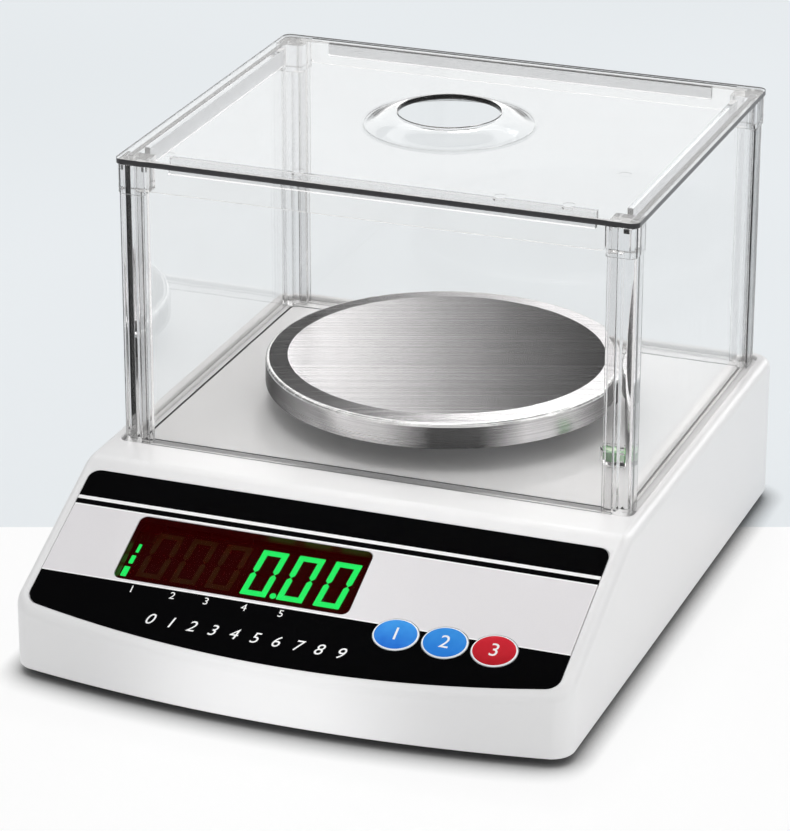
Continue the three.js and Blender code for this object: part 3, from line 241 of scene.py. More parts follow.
# Battery and its strap
# A sealed block in a black plastic case with a plain grey sleeve round its middle. A bent steel strap,
# brushed along its length, holds it down on the base plate.
battery_case, start = new_finish("battery_case")
x, y, z = start.position()
from_middle = abs(y - 28 * mm)
sleeve = (from_middle < 33 * mm) * (from_middle > 9 * mm)
skin = grain(start, 1500)
start.surface({
    "Base Color": start.mix(sleeve, rgb(38, 38, 41), rgb(120, 124, 130)),
    "Roughness": 0.52 - sleeve * 0.2 + skin * 0.08,
    "Normal": start.bump(0.5, 0.03 * mm, skin)})
dress(battery_case, "battery")
strap_steel = metal("strap_steel", rgb(206, 208, 212), rgb(170, 173, 180), 0.32, (1, 0.05, 1), 800)
dress(strap_steel, "battery_strap")


# Upper housing
# One white ABS moulding with a satin skin, 2.5 mm thick: a flat deck, a 25 degree slope for the
# controls, a bowed front and soft edges, with a pocket or a hole for each thing that it carries.
half_width, half_depth, foot, wall = 99 * mm, 125 * mm, 3 * mm, 2.5 * mm
bow_rise, corner_round, crease_round, edge_round = 10 * mm, 8 * mm, 10 * mm, 3.5 * mm
front_share = 0.816
bow_radius = (half_width ** 2 + bow_rise ** 2) / (2 * bow_rise)
shield_y = 41.7 * mm
tiny = 0.01 * mm


def deselect():
    bpy.ops.object.select_all(action="DESELECT")


def only(piece):
    """Selects one piece alone and makes it the one that operators work on."""
    deselect()
    piece.select_set(True)
    bpy.context.view_layer.objects.active = piece
    return piece


def settle(piece):
    """Moves a piece's place, turn and size into its mesh."""
    only(piece)
    bpy.ops.object.transform_apply()
    return piece


def named(name):
    """Names the piece that an operator has just made."""
    piece = bpy.context.object
    piece.name = piece.data.name = name
    return piece


def block(name, low, high):
    """A box between two corners."""
    deselect()
    bpy.ops.mesh.primitive_cube_add(size=1)
    piece = named(name)
    piece.location = [(a + b) / 2 for a, b in zip(low, high)]
    piece.scale = [b - a for a, b in zip(low, high)]
    return settle(piece)


def edit(piece):
    only(piece)
    bpy.ops.object.mode_set(mode="EDIT")


def done(piece):
    bpy.ops.object.mode_set(mode="OBJECT")
    return piece


def pick(kind, test):
    """In edit mode, selects the vertices, edges or faces that pass the test, and counts them."""
    bpy.ops.mesh.select_mode(type=kind)
    bpy.ops.mesh.select_all(action="DESELECT")
    mesh = bmesh.from_edit_mesh(bpy.context.object.data)
    mesh.normal_update()
    items = {"VERT": mesh.verts, "EDGE": mesh.edges, "FACE": mesh.faces}[kind]
    found = [item for item in items if test(item)]
    for item in found:
        item.select_set(True)
    bmesh.update_edit_mesh(bpy.context.object.data)
    return len(found)


def slice_at(place, normal, **settings):
    """In edit mode, cuts an edge line through the whole piece."""
    bpy.ops.mesh.select_all(action="SELECT")
    bpy.ops.mesh.bisect(plane_co=place, plane_no=normal, **settings)


def soften(width, steps, test):
    """In edit mode, bevels the edges that pass the test."""
    if pick("EDGE", test):
        bpy.ops.mesh.bevel(offset=width, segments=steps, profile=0.5)


def upright(edge):
    first, second = [corner.co for corner in edge.verts]
    return (first.xy - second.xy).length < tiny and abs(first.z - second.z) > tiny


def at_side(edge, side):
    return upright(edge) and abs(edge.verts[0].co.x) > side - tiny


def rim(edge, up=1):
    """True for an edge between a face that looks up, or down for -1, and one that looks sideways."""
    tilts = [face.normal.z * up for face in edge.link_faces]
    return len(tilts) == 2 and max(tilts) > 0.6 and abs(min(tilts)) < 0.3


def bow(x, inset):
    """How far forward the front of the housing reaches at one place across it."""
    return bow_radius - half_depth - math.sqrt((bow_radius - inset) ** 2 - x ** 2)


def bend_front(front, side, shape, climb):
    """In edit mode, cuts a block into columns and moves the front of each to a bowed line."""
    columns = [88 * mm * step / 12 for step in range(-12, 13)]
    for x in columns:
        slice_at((x, 0, 0), (1, 0, 0))
    for x in [-side, *columns, side]:
        for upper in (True, False):
            found = pick("VERT", lambda corner: corner.co.y < front + tiny and abs(corner.co.x - x) < tiny
                         and (corner.normal.z > 0) == upper)
            if found:
                draw = shape(x) - front
                bpy.ops.transform.translate(value=(0, draw, draw * climb if upper else 0))
    bpy.ops.mesh.select_all(action="SELECT")
    bpy.ops.mesh.dissolve_limited(angle_limit=math.radians(0.05))


def housing_form(name, inset, bottom, steps):
    """The housing's outside, or its hollow when inset, without pockets."""
    side, back, top = half_width - inset, half_depth - inset, deck - inset
    fold = crease + inset * math.tan(slope / 2)
    piece = block(name, (-side, -back, bottom), (side, back, top))
    edit(piece)
    slice_at((0, fold, 0), (0, 1, 0))
    pick("VERT", lambda corner: corner.co.y < tiny - back and corner.co.z > top - tiny)
    bpy.ops.transform.translate(value=(0, 0, -(fold + back) * math.tan(slope)))
    bend_front(-back, side, lambda x: bow(x, inset), math.tan(slope))
    size = corner_round - inset
    soften(size * front_share, steps + 2,
           lambda edge: at_side(edge, side) and edge.verts[0].co.y < -back / 2)
    soften(size, steps + 2, lambda edge: at_side(edge, side) and edge.verts[0].co.y > back - tiny)
    soften((crease_round - inset) * math.tan(slope / 2), steps, lambda edge: all(
        abs(corner.co.y - fold) < tiny and corner.co.z > top - tiny for corner in edge.verts))
    soften(edge_round - inset, steps, rim)
    return done(piece)


def round_block(name, low, high, corner, steps=6):
    """A box with its upright edges rounded."""
    piece = block(name, low, high)
    edit(piece)
    soften(corner, steps, upright)
    return done(piece)


def drum(name, place, width, height, low, high, sides=48):
    """An upright round or oval solid."""
    deselect()
    bpy.ops.mesh.primitive_cylinder_add(vertices=sides, radius=0.5, depth=1)
    piece = named(name)
    piece.location = (place[0], place[1], (low + high) / 2)
    piece.scale = (width, height, high - low)
    return settle(piece)


def onto_slope(piece):
    """Takes a piece made flat, with the crease on its X axis, to its place on the slope."""
    piece.rotation_euler = (slope, 0, 0)
    piece.location = (0, crease, deck)
    return settle(piece)


def apply(piece, kind, **settings):
    """Adds a modifier to a piece and makes it final."""
    only(piece)
    change = piece.modifiers.new("change", kind)
    for name, value in settings.items():
        setattr(change, name, value)
    bpy.ops.object.modifier_apply(modifier=change.name)
    return piece


def cut_away(piece, *tools, operation="DIFFERENCE"):
    """Cuts tools out of a piece and throws the tools away."""
    for tool in tools:
        apply(piece, "BOOLEAN", operation=operation, solver="EXACT", object=tool)
        bpy.data.objects.remove(tool)
    return piece


film_half, film_top, film_margin, film_corner = 94.2 * mm, -6.5 * mm, 2.8 * mm, 4 * mm


def film_form(name, grow, low, high):
    """The outline of the printed film, whose lower edge is bowed like the housing's front."""
    def lower_edge(x):
        return (bow(x, 0) - crease + film_margin) / math.cos(slope) - grow

    side, front = film_half + grow, lower_edge(0)
    piece = block(name, (-side, front, low), (side, film_top + grow, high))
    edit(piece)
    bend_front(front, side, lower_edge, 0)
    soften(film_corner, 6, lambda edge: at_side(edge, side))
    return done(piece)


window_low, window_high = (-68.436 * mm, -51.5 * mm), (16.164 * mm, -23.7 * mm)
key_places = [(x * mm, -56.32 * mm) for x in (35.046, 52.146, 69.246)]
key_pocket, plunger_hole = (16.4 * mm, 13.8 * mm), (7.6 * mm, 7.6 * mm)


def window_form(name, grow, low, high):
    return round_block(name, (window_low[0] - grow, window_low[1] - grow, low),
                       (window_high[0] + grow, window_high[1] + grow, high), 2.5 * mm + grow)


recess_x, recess_y, recess_floor = 94 * mm, 78.3 * mm, 53 * mm
pocket_left, pocket_low, pocket_high, pocket_depth = -59.5 * mm, 16 * mm, 38 * mm, 5 * mm
stem_width, column_width, gap, clear_of = 22 * mm, 9 * mm, 0.3 * mm, 9 * mm
back_out = half_depth + 15 * mm

hollow = housing_form("hollow", wall, -foot, 2)
cut_away(hollow,
         block("tray", (wall - half_width, shield_y - recess_y - wall, recess_floor - wall),
               (half_width - wall, half_depth - wall, 80 * mm)),
         block("pocket_wall", (pocket_left - wall, half_depth - pocket_depth - wall, pocket_low - wall),
               (wall, back_out, pocket_high + wall)),
         *[drum("column", (x * mm, y * mm), column_width, column_width, 9.3 * mm, 70 * mm, 24)
           for x in (-88, 88) for y in (-59, 82)])
housing = housing_form("housing_shell", 0, foot, 6)
cut_away(housing, hollow,
         round_block("recess", (-recess_x, shield_y - recess_y, recess_floor),
                     (recess_x, shield_y + recess_y, 70 * mm), 3 * mm),
         drum("stem_hole", (0, shield_y), stem_width, stem_width, 40 * mm, 60 * mm),
         onto_slope(film_form("film_pocket", gap, -0.6 * mm, clear_of)),
         onto_slope(window_form("window_hole", gap, -clear_of, clear_of)),
         *[onto_slope(drum("key_pocket", spot, *key_pocket, -1.3 * mm, clear_of)) for spot in key_places],
         *[onto_slope(drum("key_hole", spot, *plunger_hole, -clear_of, clear_of)) for spot in key_places],
         round_block("rear_pocket", (pocket_left, half_depth - pocket_depth, pocket_low),
                     (0, back_out, pocket_high), 0.8 * mm, 3),
         block("switch_hole", (-29.3 * mm, 100 * mm, 18.7 * mm), (-6.7 * mm, 130 * mm, 35.3 * mm)))


def lower_rim(edge):
    """True for the outer edge on which the housing stands."""
    x, y, z = edge.verts[0].co
    near_outside = max(abs(x) - half_width, abs(y) - half_depth) > -10.2 * mm
    return rim(edge, -1) and z < foot + tiny and near_outside and all(
        face.normal.z < -0.6 or face.normal.dot(Vector((x, y, 0))) > 0 for face in edge.link_faces)


def recess_rim(edge):
    """True for the edge between the deck and the recess."""
    x, y, z = edge.verts[0].co
    on_deck = z > deck - tiny and edge.verts[1].co.z > deck - tiny
    in_plan = abs(x) < recess_x + mm and abs(y - shield_y) < recess_y + 0.7 * mm
    return rim(edge) and on_deck and in_plan


edit(housing)
soften(1 * mm, 3, lower_rim)
soften(0.6 * mm, 3, recess_rim)
done(housing)


def smooth(piece, angle=35):
    """Smooth shading that stays flat on flat faces and crisp at hard edges."""
    only(piece)
    bpy.ops.object.shade_smooth_by_angle(angle=math.radians(angle))
    return apply(piece, "WEIGHTED_NORMAL", keep_sharp=True)


def mount(piece, body, *replaced, slot=None):
    """The piece rides on a body and stands for CAD nodes."""
    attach(piece, body)
    if replaced:
        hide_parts(*replaced)
    return piece


white_plastic = moulded("white_moulding", rgb(240, 240, 240), rgb(237, 237, 238), 0.29, 1300, 0.001 * mm)
dress(white_plastic, smooth(housing))
mount(housing, "base", "upper_housing", slot="white_plastic")


# Chamber floor
# A light grey powder coated plate lies in the recess under the shield, with a hole for the stem. A
# groove runs round it just inside the panels. Painted shade makes the strip in front of it a darker
# grey and the groove's floor dark grey.
groove_x, groove_front, groove_back, groove_width = 88.4 * mm, -28.4 * mm, 111.8 * mm, 1 * mm


def ring_block(name, low, high, corner, wall):
    """A rounded frame with an open middle, for cutting a groove."""
    frame_block = round_block(name, low, high, corner)
    inside = round_block("inside", (low[0] + wall, low[1] + wall, low[2] - mm),
                         (high[0] - wall, high[1] - wall, high[2] + mm), corner - wall)
    return cut_away(frame_block, inside)


floor_low, floor_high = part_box("chamber_floor")
floor_plate = round_block("chamber_plate", floor_low, floor_high, 2.7 * mm)
cut_away(floor_plate,
         drum("stem_gap", (0, shield_y), stem_width, stem_width, floor_low.z - mm, floor_high.z + mm),
         ring_block("groove", (-groove_x, groove_front, floor_high.z - 0.7 * mm),
                    (groove_x, groove_back, floor_high.z + mm), 3 * mm, groove_width))
powder_with_painted_shade, start = new_finish("powder_coat_painted_shade")
speck = grain(start, 2600, detail=2)
cloud = grain(start, 60, detail=3)
x, y, z = start.position()
plate_grey = start.mix(speck * 0.6 + cloud * 0.4, rgb(226, 226, 227), rgb(242, 242, 242))
# Painted shade: a darker grey on the strip in front of the groove.
front_strip_painted_shade = start.mix(cloud, rgb(150, 150, 152), rgb(178, 178, 179))
top_grey_with_painted_shade = start.mix(y < groove_front + groove_width / 2, plate_grey, front_strip_painted_shade)
# Painted shade: the groove's floor is dark grey.
start.surface({
    "Base Color": start.mix(z < floor_high.z - 0.2 * mm, top_grey_with_painted_shade, rgb(76, 76, 78)),
    "Roughness": 0.5 + speck * 0.12, "Specular IOR Level": 0.4,
    "Normal": start.bump(0.6, 0.03 * mm, speck)})
dress(powder_with_painted_shade, smooth(floor_plate))
mount(floor_plate, "base", "chamber_floor", slot="floor_paint")


# Weighing pan and its pads
# The pan is pressed from 0.8 mm stainless sheet: a flat disc brushed in straight lines, a polished
# ring that slopes down round it, a rounded shoulder and a turned-down wall. It lies on four pads.
# Its colour holds painted reflections: light to dark across the disc and the ring, a painted
# highlight on the shoulder, and bright and dark bands round the wall.
def turned(name, centre, rings, sides=96):
    """A round form drawn up ring by ring, each a radius and a height."""
    radius, height = rings[0]
    deselect()
    bpy.ops.mesh.primitive_circle_add(vertices=sides, radius=radius, location=(*centre, height))
    piece = settle(named(name))
    edit(piece)
    bpy.ops.mesh.select_all(action="SELECT")
    for next_radius, next_height in rings[1:]:
        bpy.ops.mesh.extrude_region_move(TRANSFORM_OT_translate={"value": (0, 0, next_height - height)})
        share = next_radius / radius
        bpy.ops.transform.resize(value=(share, share, 1), center_override=(*centre, next_height))
        radius, height = next_radius, next_height
    return piece


def arc(radius, height, size, first, last, steps):
    """Rings along a rounded edge, between two angles measured from straight out to straight up."""
    angles = [math.radians(first + (last - first) * step / steps) for step in range(steps + 1)]
    return [(radius + size * math.cos(angle), height + size * math.sin(angle)) for angle in angles]


def face_outwards():
    """In edit mode, turns every face to look out of the piece."""
    bpy.ops.mesh.select_all(action="SELECT")
    bpy.ops.mesh.normals_make_consistent(inside=False)


pan_foot, pan_top = 63.2 * mm, 73.1 * mm
pan_radius, disc_radius, shoulder_size = 65 * mm, 57 * mm, 1.2 * mm
shoulder_low = pan_top - 1.8 * mm
pan_rings = [(pan_radius, pan_foot), (pan_radius, shoulder_low),
             *arc(pan_radius - shoulder_size, shoulder_low, shoulder_size, 15, 85, 6),
             (disc_radius + 0.3 * mm, pan_top - 0.1 * mm), (disc_radius, pan_top), (56.6 * mm, pan_top)]
pan = turned("pan_disc", (0, shield_y), pan_rings, 160)
bpy.ops.mesh.edge_face_add()
bpy.ops.mesh.inset(thickness=20 * mm)
face_outwards()
done(pan)
apply(pan, "SOLIDIFY", thickness=0.8 * mm, offset=-1)
edit(pan)
soften(0.25 * mm, 2, lambda edge: all(corner.co.z < pan_foot + tiny for corner in edge.verts))
done(pan)

steel, start = new_finish("brushed_stainless_painted_reflections")
x, y, z = start.position()
y = y - shield_y
brush_turn = math.radians(20.5)
along = x * math.cos(brush_turn) + y * math.sin(brush_turn)
over = y * math.cos(brush_turn) - x * math.sin(brush_turn)
radius = (x * x + y * y) ** 0.5
turn = start.maths("ARCTAN2", y, x) / math.tau + 0.5
wall_part = z < shoulder_low - 0.1 * mm
disc = (radius < disc_radius) * (1 - wall_part)
shoulder = (radius > pan_radius - shoulder_size - 0.1 * mm) * (1 - wall_part)


def streaks(first, second, third, detail):
    """Scratches of a brush that are long in the first direction."""
    spread = start.node("CombineXYZ", {}, {0: first, 1: second, 2: third})
    noise = {"Vector": spread, "Scale": 1.0, "Detail": detail, "Roughness": 0.65}
    return start.node("TexNoise", {}, noise)


flat_lines = streaks(along * 1.6, over * 1200, z * 90, 3)
wall_lines = streaks(turn * 3, z * 2200, radius * 90, 3)
lines = ((flat_lines * (1 - wall_part) + wall_lines * wall_part) - 0.5) * 2.2 + 0.5


def shades(position, stops):
    """Painted reflections: grey tones along a line over the metal."""
    greys = [(stop, (tone, tone * 0.985, tone)) for stop, tone in stops]
    return start.node("ValToRGB", {"stops": greys}, {"Fac": position})


# Painted reflections: the disc goes from light to dark across the brush, the ring the other way, and the
# wall has bright and dark bands round its turn.
disc_painted_reflection = shades(along / (2 * disc_radius) + 0.5, [
    (0.0, 0.96), (0.06, 0.9), (0.28, 0.62), (0.5, 0.33), (0.72, 0.135), (0.94, 0.035), (1.0, 0.03)])
ring_painted_reflection = shades(along / radius * 0.5 + 0.5, [
    (0.0, 0.045), (0.095, 0.08), (0.25, 0.19), (0.42, 0.4), (0.63, 0.68), (0.82, 0.97), (1.0, 0.9)])
wall_painted_reflection = shades(turn, [
    (0.0, 0.06), (0.04, 0.02), (0.1, 0.05), (0.167, 0.45), (0.208, 1.0), (0.25, 0.7), (0.292, 0.02),
    (0.333, 0.06), (0.375, 0.95), (0.417, 0.9), (0.458, 0.3), (0.52, 0.12), (0.58, 0.75), (0.66, 0.95),
    (0.74, 0.25), (0.82, 0.12), (0.9, 0.7), (0.96, 0.25), (1.0, 0.06)])
# Painted highlight: the shoulder is near white all round.
top_painted_reflection = start.mix(disc, start.mix(shoulder, ring_painted_reflection, (0.97, 0.97, 0.97, 1)), disc_painted_reflection)
tone = start.mix(wall_part, top_painted_reflection, wall_painted_reflection)
scratch, polish = start.mix(0.34, tone, (0.004, 0.004, 0.004, 1)), start.mix(0.025, tone, (1, 1, 1, 1))
start.surface({
    "Base Color": start.mix(lines, scratch, polish),
    "Metallic": 1.0, "Roughness": 0.2 + lines * 0.1, "Specular Tint": (0.45, 0.45, 0.45, 1),
    "Normal": start.bump(0.3, 0.01 * mm, lines)})
dress(steel, smooth(pan, 25))
mount(pan, "pan", "weighing_pan", slot="brushed_pan")
silicone = moulded("pad_silicone", rgb(226, 228, 224), rgb(214, 216, 212), 0.6, skin=2000)
dress(silicone, *["pan_pad_%d" % number for number in (1, 2, 3, 4)])


# Draft shield: corner posts
# Clear acrylic mouldings. Each post is an L with a rounded outer corner and a slot in either arm for
# the panels, and ends at the top in a short thicker block.
def clear(name, tint, roughness=0.0, clearness=1.0, shine=0.5):
    """Clear acrylic that lets the lamps through, with polish marks too fine to see as lines."""
    material, start = new_finish(name)
    waves = grain(start, 55, detail=2)
    glass = start.node("BsdfPrincipled", {}, {
        "Base Color": start.mix(waves, tint, tuple(min(1, part * 1.03) for part in tint[:3]) + (1,)),
        "Roughness": roughness + waves * 0.02, "IOR": 1.49, "Transmission Weight": clearness,
        "Specular Tint": (shine, shine, shine, 1),
        "Normal": start.bump(0.12, 0.2 * mm, waves)})
    lamp = start.node("BsdfTransparent", {}, {"Color": tint})
    shadow = start.node("LightPath", output="Is Shadow Ray")
    both = start.node("MixShader", {}, {0: shadow, 1: glass, 2: lamp})
    start.node("OutputMaterial", {}, {"Surface": both})
    return material


acrylic = clear("clear_acrylic", (0.978, 0.972, 0.967, 1))
post_acrylic = clear("post_acrylic", (0.87, 0.868, 0.87, 1))
# Painted shade: darker tinted copies of the clear acrylic for cut edges, ribs and sawn ends; the sawn ends
# are rougher too.
acrylic_edge_painted_shade = clear("acrylic_cut_edge_painted_shade", (0.07, 0.07, 0.074, 1), 0.22, 0.3, 0.12)
acrylic_rib_painted_shade = clear("acrylic_rib_painted_shade", (0.6, 0.6, 0.61, 1), 0.04)
sawn_acrylic_painted_shade = clear("sawn_acrylic_edge_painted_shade", (0.5, 0.5, 0.5, 1), 0.3, 0.3, 0.1)


def darken(piece, finish, test):
    """Gives edges and ribs a darker tinted finish: painted shade for the light that the sheet loses there.
    """
    piece.data.materials.append(finish)
    for face in piece.data.polygons:
        if test(face):
            face.material_index = len(piece.data.materials) - 1


post_foot, post_top, cap_size = 54.8 * mm, 157.6 * mm, 10.5 * mm
slot_near, slot_far, slot_start, past = 1.2 * mm, 3.8 * mm, 6.5 * mm, 20 * mm


def add_to(piece, *others):
    """Welds other solids to a piece."""
    return cut_away(piece, *others, operation="UNION")


def post_form():
    """One post at the front left, with its outer corner at the origin of its arms."""
    def outer_corner(edge):
        return upright(edge) and edge.verts[0].co.x < mm and edge.verts[0].co.y < mm

    piece = block("shield_post", (0.4 * mm, 0.4 * mm, post_foot), (10.1 * mm, 10.1 * mm, post_top))
    edit(piece)
    soften(2.2 * mm, 6, outer_corner)
    done(piece)
    inside = block("post_inside", (6 * mm, 6 * mm, post_foot - mm), (past, past, post_top - cap_size))
    cut_away(piece, inside)
    cap = block("post_cap", (0, 0, post_top - cap_size), (cap_size, cap_size, post_top))
    edit(cap)
    soften(1.8 * mm, 1, outer_corner)
    done(cap)
    add_to(piece, cap)
    cut_away(piece,
             block("post_slot", (slot_start, slot_near, post_foot - mm), (past, slot_far, post_top + mm)),
             block("post_slot", (slot_near, slot_start, post_foot - mm), (slot_far, past, post_top + mm)))
    return apply(piece, "BEVEL", width=0.2 * mm, segments=2, angle_limit=math.radians(40))


post = post_form()
shield_half_width, shield_half_depth = 93 * mm, 77.3 * mm
for corner in corners:
    x_way = 1 if "left" in corner else -1
    y_way = 1 if "front" in corner else -1
    copy = post.copy()
    copy.data = post.data.copy()
    copy.name = copy.data.name = "clear_post_" + corner
    bpy.context.scene.collection.objects.link(copy)
    copy.scale = (x_way, y_way, 1)
    copy.location = (-x_way * shield_half_width, shield_y - y_way * shield_half_depth, 0)
    settle(copy)
    edit(copy)
    face_outwards()
    done(copy)
    dress(post_acrylic, smooth(copy))
    # Painted shade: the post's sawn foot is grey.
    darken(copy, sawn_acrylic_painted_shade, lambda face: face.normal.z < -0.3)
    mount(copy, "shield", "shield_post_" + corner, slot="clear_acrylic")
bpy.data.objects.remove(post)


# Draft shield: panels
# Four clear acrylic sheets, 2 mm thick, stand in the slots of the posts. Their edges are broken, and
# the sawn ends at the top and the foot are left matt, with painted shade that makes them grey and
# the tops of the side panels dark.
for side in ("front", "back", "left", "right"):
    sheet = block("clear_panel_" + side, *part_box("shield_panel_" + side))
    apply(sheet, "BEVEL", width=0.18 * mm, segments=2)
    dress(acrylic, smooth(sheet))
    # Painted shade: grey sawn ends, darker still on the side panels' tops.
    darken(sheet, sawn_acrylic_painted_shade, lambda face: abs(face.normal.z) > 0.3)
    if side in ("left", "right"):
        darken(sheet, acrylic_edge_painted_shade, lambda face: face.normal.z > 0.3)
    mount(sheet, "shield", "shield_panel_" + side, slot="clear_acrylic")


# Shield lid
# A clear moulding: a sheet with rounded corners, a low dome round the finger hole, a rib along each
# side that drops inside the panels, a skirt at the front and the back, and faint ejector marks.
# Painted shade darkens its outer edges, the sides of its ribs and the feet of its skirts.
low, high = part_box("shield_lid")
dome_height, lid_sheet = 4.3 * mm, 1.8 * mm
lid_face = high.z - dome_height
lid_low = lid_face - lid_sheet
lid = round_block("clear_lid", (low.x, low.y, lid_low), (high.x, high.y, lid_face), 3 * mm, 8)
cut_away(lid, drum("dome_hole", (0, shield_y), 59.4 * mm, 59.4 * mm, lid_low - mm, lid_face + mm, 96))

dome_radius, hole_radius, dome_steps = 31.5 * mm, 18 * mm, 10
dome_outer = [(dome_radius - (dome_radius - hole_radius) * step / dome_steps,
               lid_face + dome_height * (1 - math.cos(math.pi * step / dome_steps)) / 2)
              for step in range(dome_steps + 1)]
dome_rings = dome_outer + [(radius, height - lid_sheet) for radius, height in reversed(dome_outer)]
dome = turned("dome", (0, shield_y), dome_rings, 96)
pick("EDGE", lambda edge: edge.is_boundary)
bpy.ops.mesh.bridge_edge_loops()
face_outwards()
soften(0.5 * mm, 3, lambda edge: not upright(edge) and all(
    abs((corner.co.xy - Vector((0, shield_y))).length - hole_radius) < tiny for corner in edge.verts))
done(dome)
overlap, skirt_half, skirt_wall, skirt_depth = 0.9 * mm, 82.2 * mm, 1.2 * mm, 9 * mm
front_y, back_y = shield_y - shield_half_depth, shield_y + shield_half_depth
ribs = [block("rib", (x - mm, shield_y - 61.8 * mm, lid_low - 6.5 * mm),
              (x + mm, shield_y + 61.8 * mm, lid_low + overlap)) for x in (-87.9 * mm, 85.9 * mm)]
ribs += [block("rib", (-half, shield_y + y - mm, lid_low - 4.4 * mm),
               (half, shield_y + y + mm, lid_low + overlap))
         for y, half in ((-68 * mm, 76.5 * mm), (73.2 * mm, 74 * mm))]
skirts = [block("skirt", (-skirt_half, y, lid_low - skirt_depth),
                (skirt_half, y + skirt_wall, lid_low + overlap)) for y in (back_y - skirt_wall, front_y)]
for skirt in skirts:
    edit(skirt)
    soften(1.5 * mm, 4, lambda edge: abs(edge.verts[0].co.x - edge.verts[1].co.x) < tiny and all(
        corner.co.z < lid_low - skirt_depth + tiny for corner in edge.verts))
    done(skirt)
add_to(lid, dome, *ribs, *skirts)
mark_size, mark_top = (4.4 * mm, 4.4 * mm), lid_low + 0.12 * mm
marks = [(-78, -66), (-30, -66), (42, -66), (66, -66), (74, -30), (-60, 66), (20, 66)]
cut_away(lid, *[drum("ejector_mark", (x * mm, shield_y + y * mm), *mark_size, lid_low - mm, mark_top, 32)
                for x, y in marks])


def upright_face(face):
    return abs(face.normal.z) < 0.5


def off_middle(face):
    return abs(face.center.y - shield_y)


dress(acrylic, smooth(lid))
# Painted shade: dark outer edges, grey rib sides and grey skirt feet.
darken(lid, acrylic_edge_painted_shade, lambda face: upright_face(face) and face.center.z > lid_low - tiny
       and (abs(face.center.x) > 90 * mm or off_middle(face) > 75 * mm))
darken(lid, acrylic_rib_painted_shade, lambda face: upright_face(face) and face.center.z < lid_low - mm
       and off_middle(face) < 75 * mm)
darken(lid, sawn_acrylic_painted_shade, lambda face: not upright_face(face) and face.center.z < lid_low - 7.4 * mm)
mount(lid, "lid", "shield_lid", slot="clear_acrylic")


# Spirit level
# A small round vial stands in a clear holder by the front right post, both glued to the floor. Its
# green liquid holds a bubble under a lens with a ring, which shows when the balance is level.
level_x, level_y = 73 * mm, 11 * mm


def solid_turned(name, centre, rings, sides):
    """A turned form that is closed at both ends."""
    piece = turned(name, centre, rings, sides)
    bpy.ops.mesh.edge_face_add()
    pick("EDGE", lambda edge: edge.is_boundary)
    bpy.ops.mesh.edge_face_add()
    face_outwards()
    return done(piece)


holder_rings = [(4.8, 54.8), (4.9, 55), (4.9, 59.4), (4.6, 59.8), (4.1, 59.8), (3.9, 59.6), (3.9, 56.3)]
vial_rings = [(3.7, 56.6), (3.7, 59.2), (3.4, 59.5), (2.6, 59.7), (1.4, 59.78), (0.5, 59.8)]
holder, vial = [
    solid_turned(name, (level_x, level_y), [(radius * mm, height * mm) for radius, height in rings], sides)
    for name, rings, sides in (("level_holder", holder_rings, 64), ("level_glass", vial_rings, 48))]
dress(acrylic, smooth(holder))
mount(holder, "base", "level_cup", slot="clear_acrylic")
liquid, start = new_finish("level_liquid")
x, y, z = start.position()
x, y = x - level_x, y - level_y
from_middle = (x * x + y * y) ** 0.5
ring = abs(from_middle - 2.1 * mm) < 0.12 * mm
bubble = ((x - 0.5 * mm) * (x - 0.5 * mm) + (y + 0.3 * mm) * (y + 0.3 * mm)) ** 0.5 < 1.4 * mm
green = start.mix(bubble, rgb(122, 186, 124), rgb(196, 228, 176))
start.surface({
    "Base Color": start.mix(ring, green, rgb(20, 60, 34)), "Roughness": 0.05 + grain(start, 400) * 0.05,
    "Coat Weight": 1.0})
dress(liquid, smooth(vial))
mount(vial, "base", "level_vial", slot="level_green")


# Display: number modules and indicators
# Two black modules of three slanted seven-bar digits and a block of three bars stand behind the
# window. The right module is lit and reads 0.00, and the bars of the left one are dark.
lit, start = new_finish("lit_bar")
glow = grain(start, 700, detail=1)
start.surface({
    "Base Color": rgb(0, 120, 50), "Roughness": 0.4,
    "Emission Color": start.mix(glow, (0.0, 0.86, 0.13, 1), (0.0, 0.92, 0.145, 1)),
    "Emission Strength": 3.1})
unlit = moulded("unlit_bar", rgb(66, 82, 10), rgb(56, 70, 8), 0.5)
module_face, start = new_finish("module_face")
skin = grain(start, 1600)
start.surface({
    "Base Color": start.mix(skin, rgb(15, 6, 6), rgb(18, 7, 7)), "Roughness": 0.55 + skin * 0.02,
    "Specular IOR Level": 0.1})
dress(module_face, "led_module_left", "led_module_right")
bar_low, bar_top = -4.55 * mm, -4.3 * mm
digit_height, digit_width, bar_width, digit_lean, bar_gap = 19.9 * mm, 9.2 * mm, 2 * mm, 0.087, 0.16 * mm
digits_down = -36.25 * mm


def bar(name, low, high, cuts):
    """One bar of a digit: a flat strip whose ends are cut to mitres or points."""
    piece = block(name, (*low, bar_low), (*high, bar_top))
    edit(piece)
    for spot, normal in cuts:
        slice_at((*spot, 0), (*normal, 0), use_fill=True, clear_outer=True)
    return done(piece)


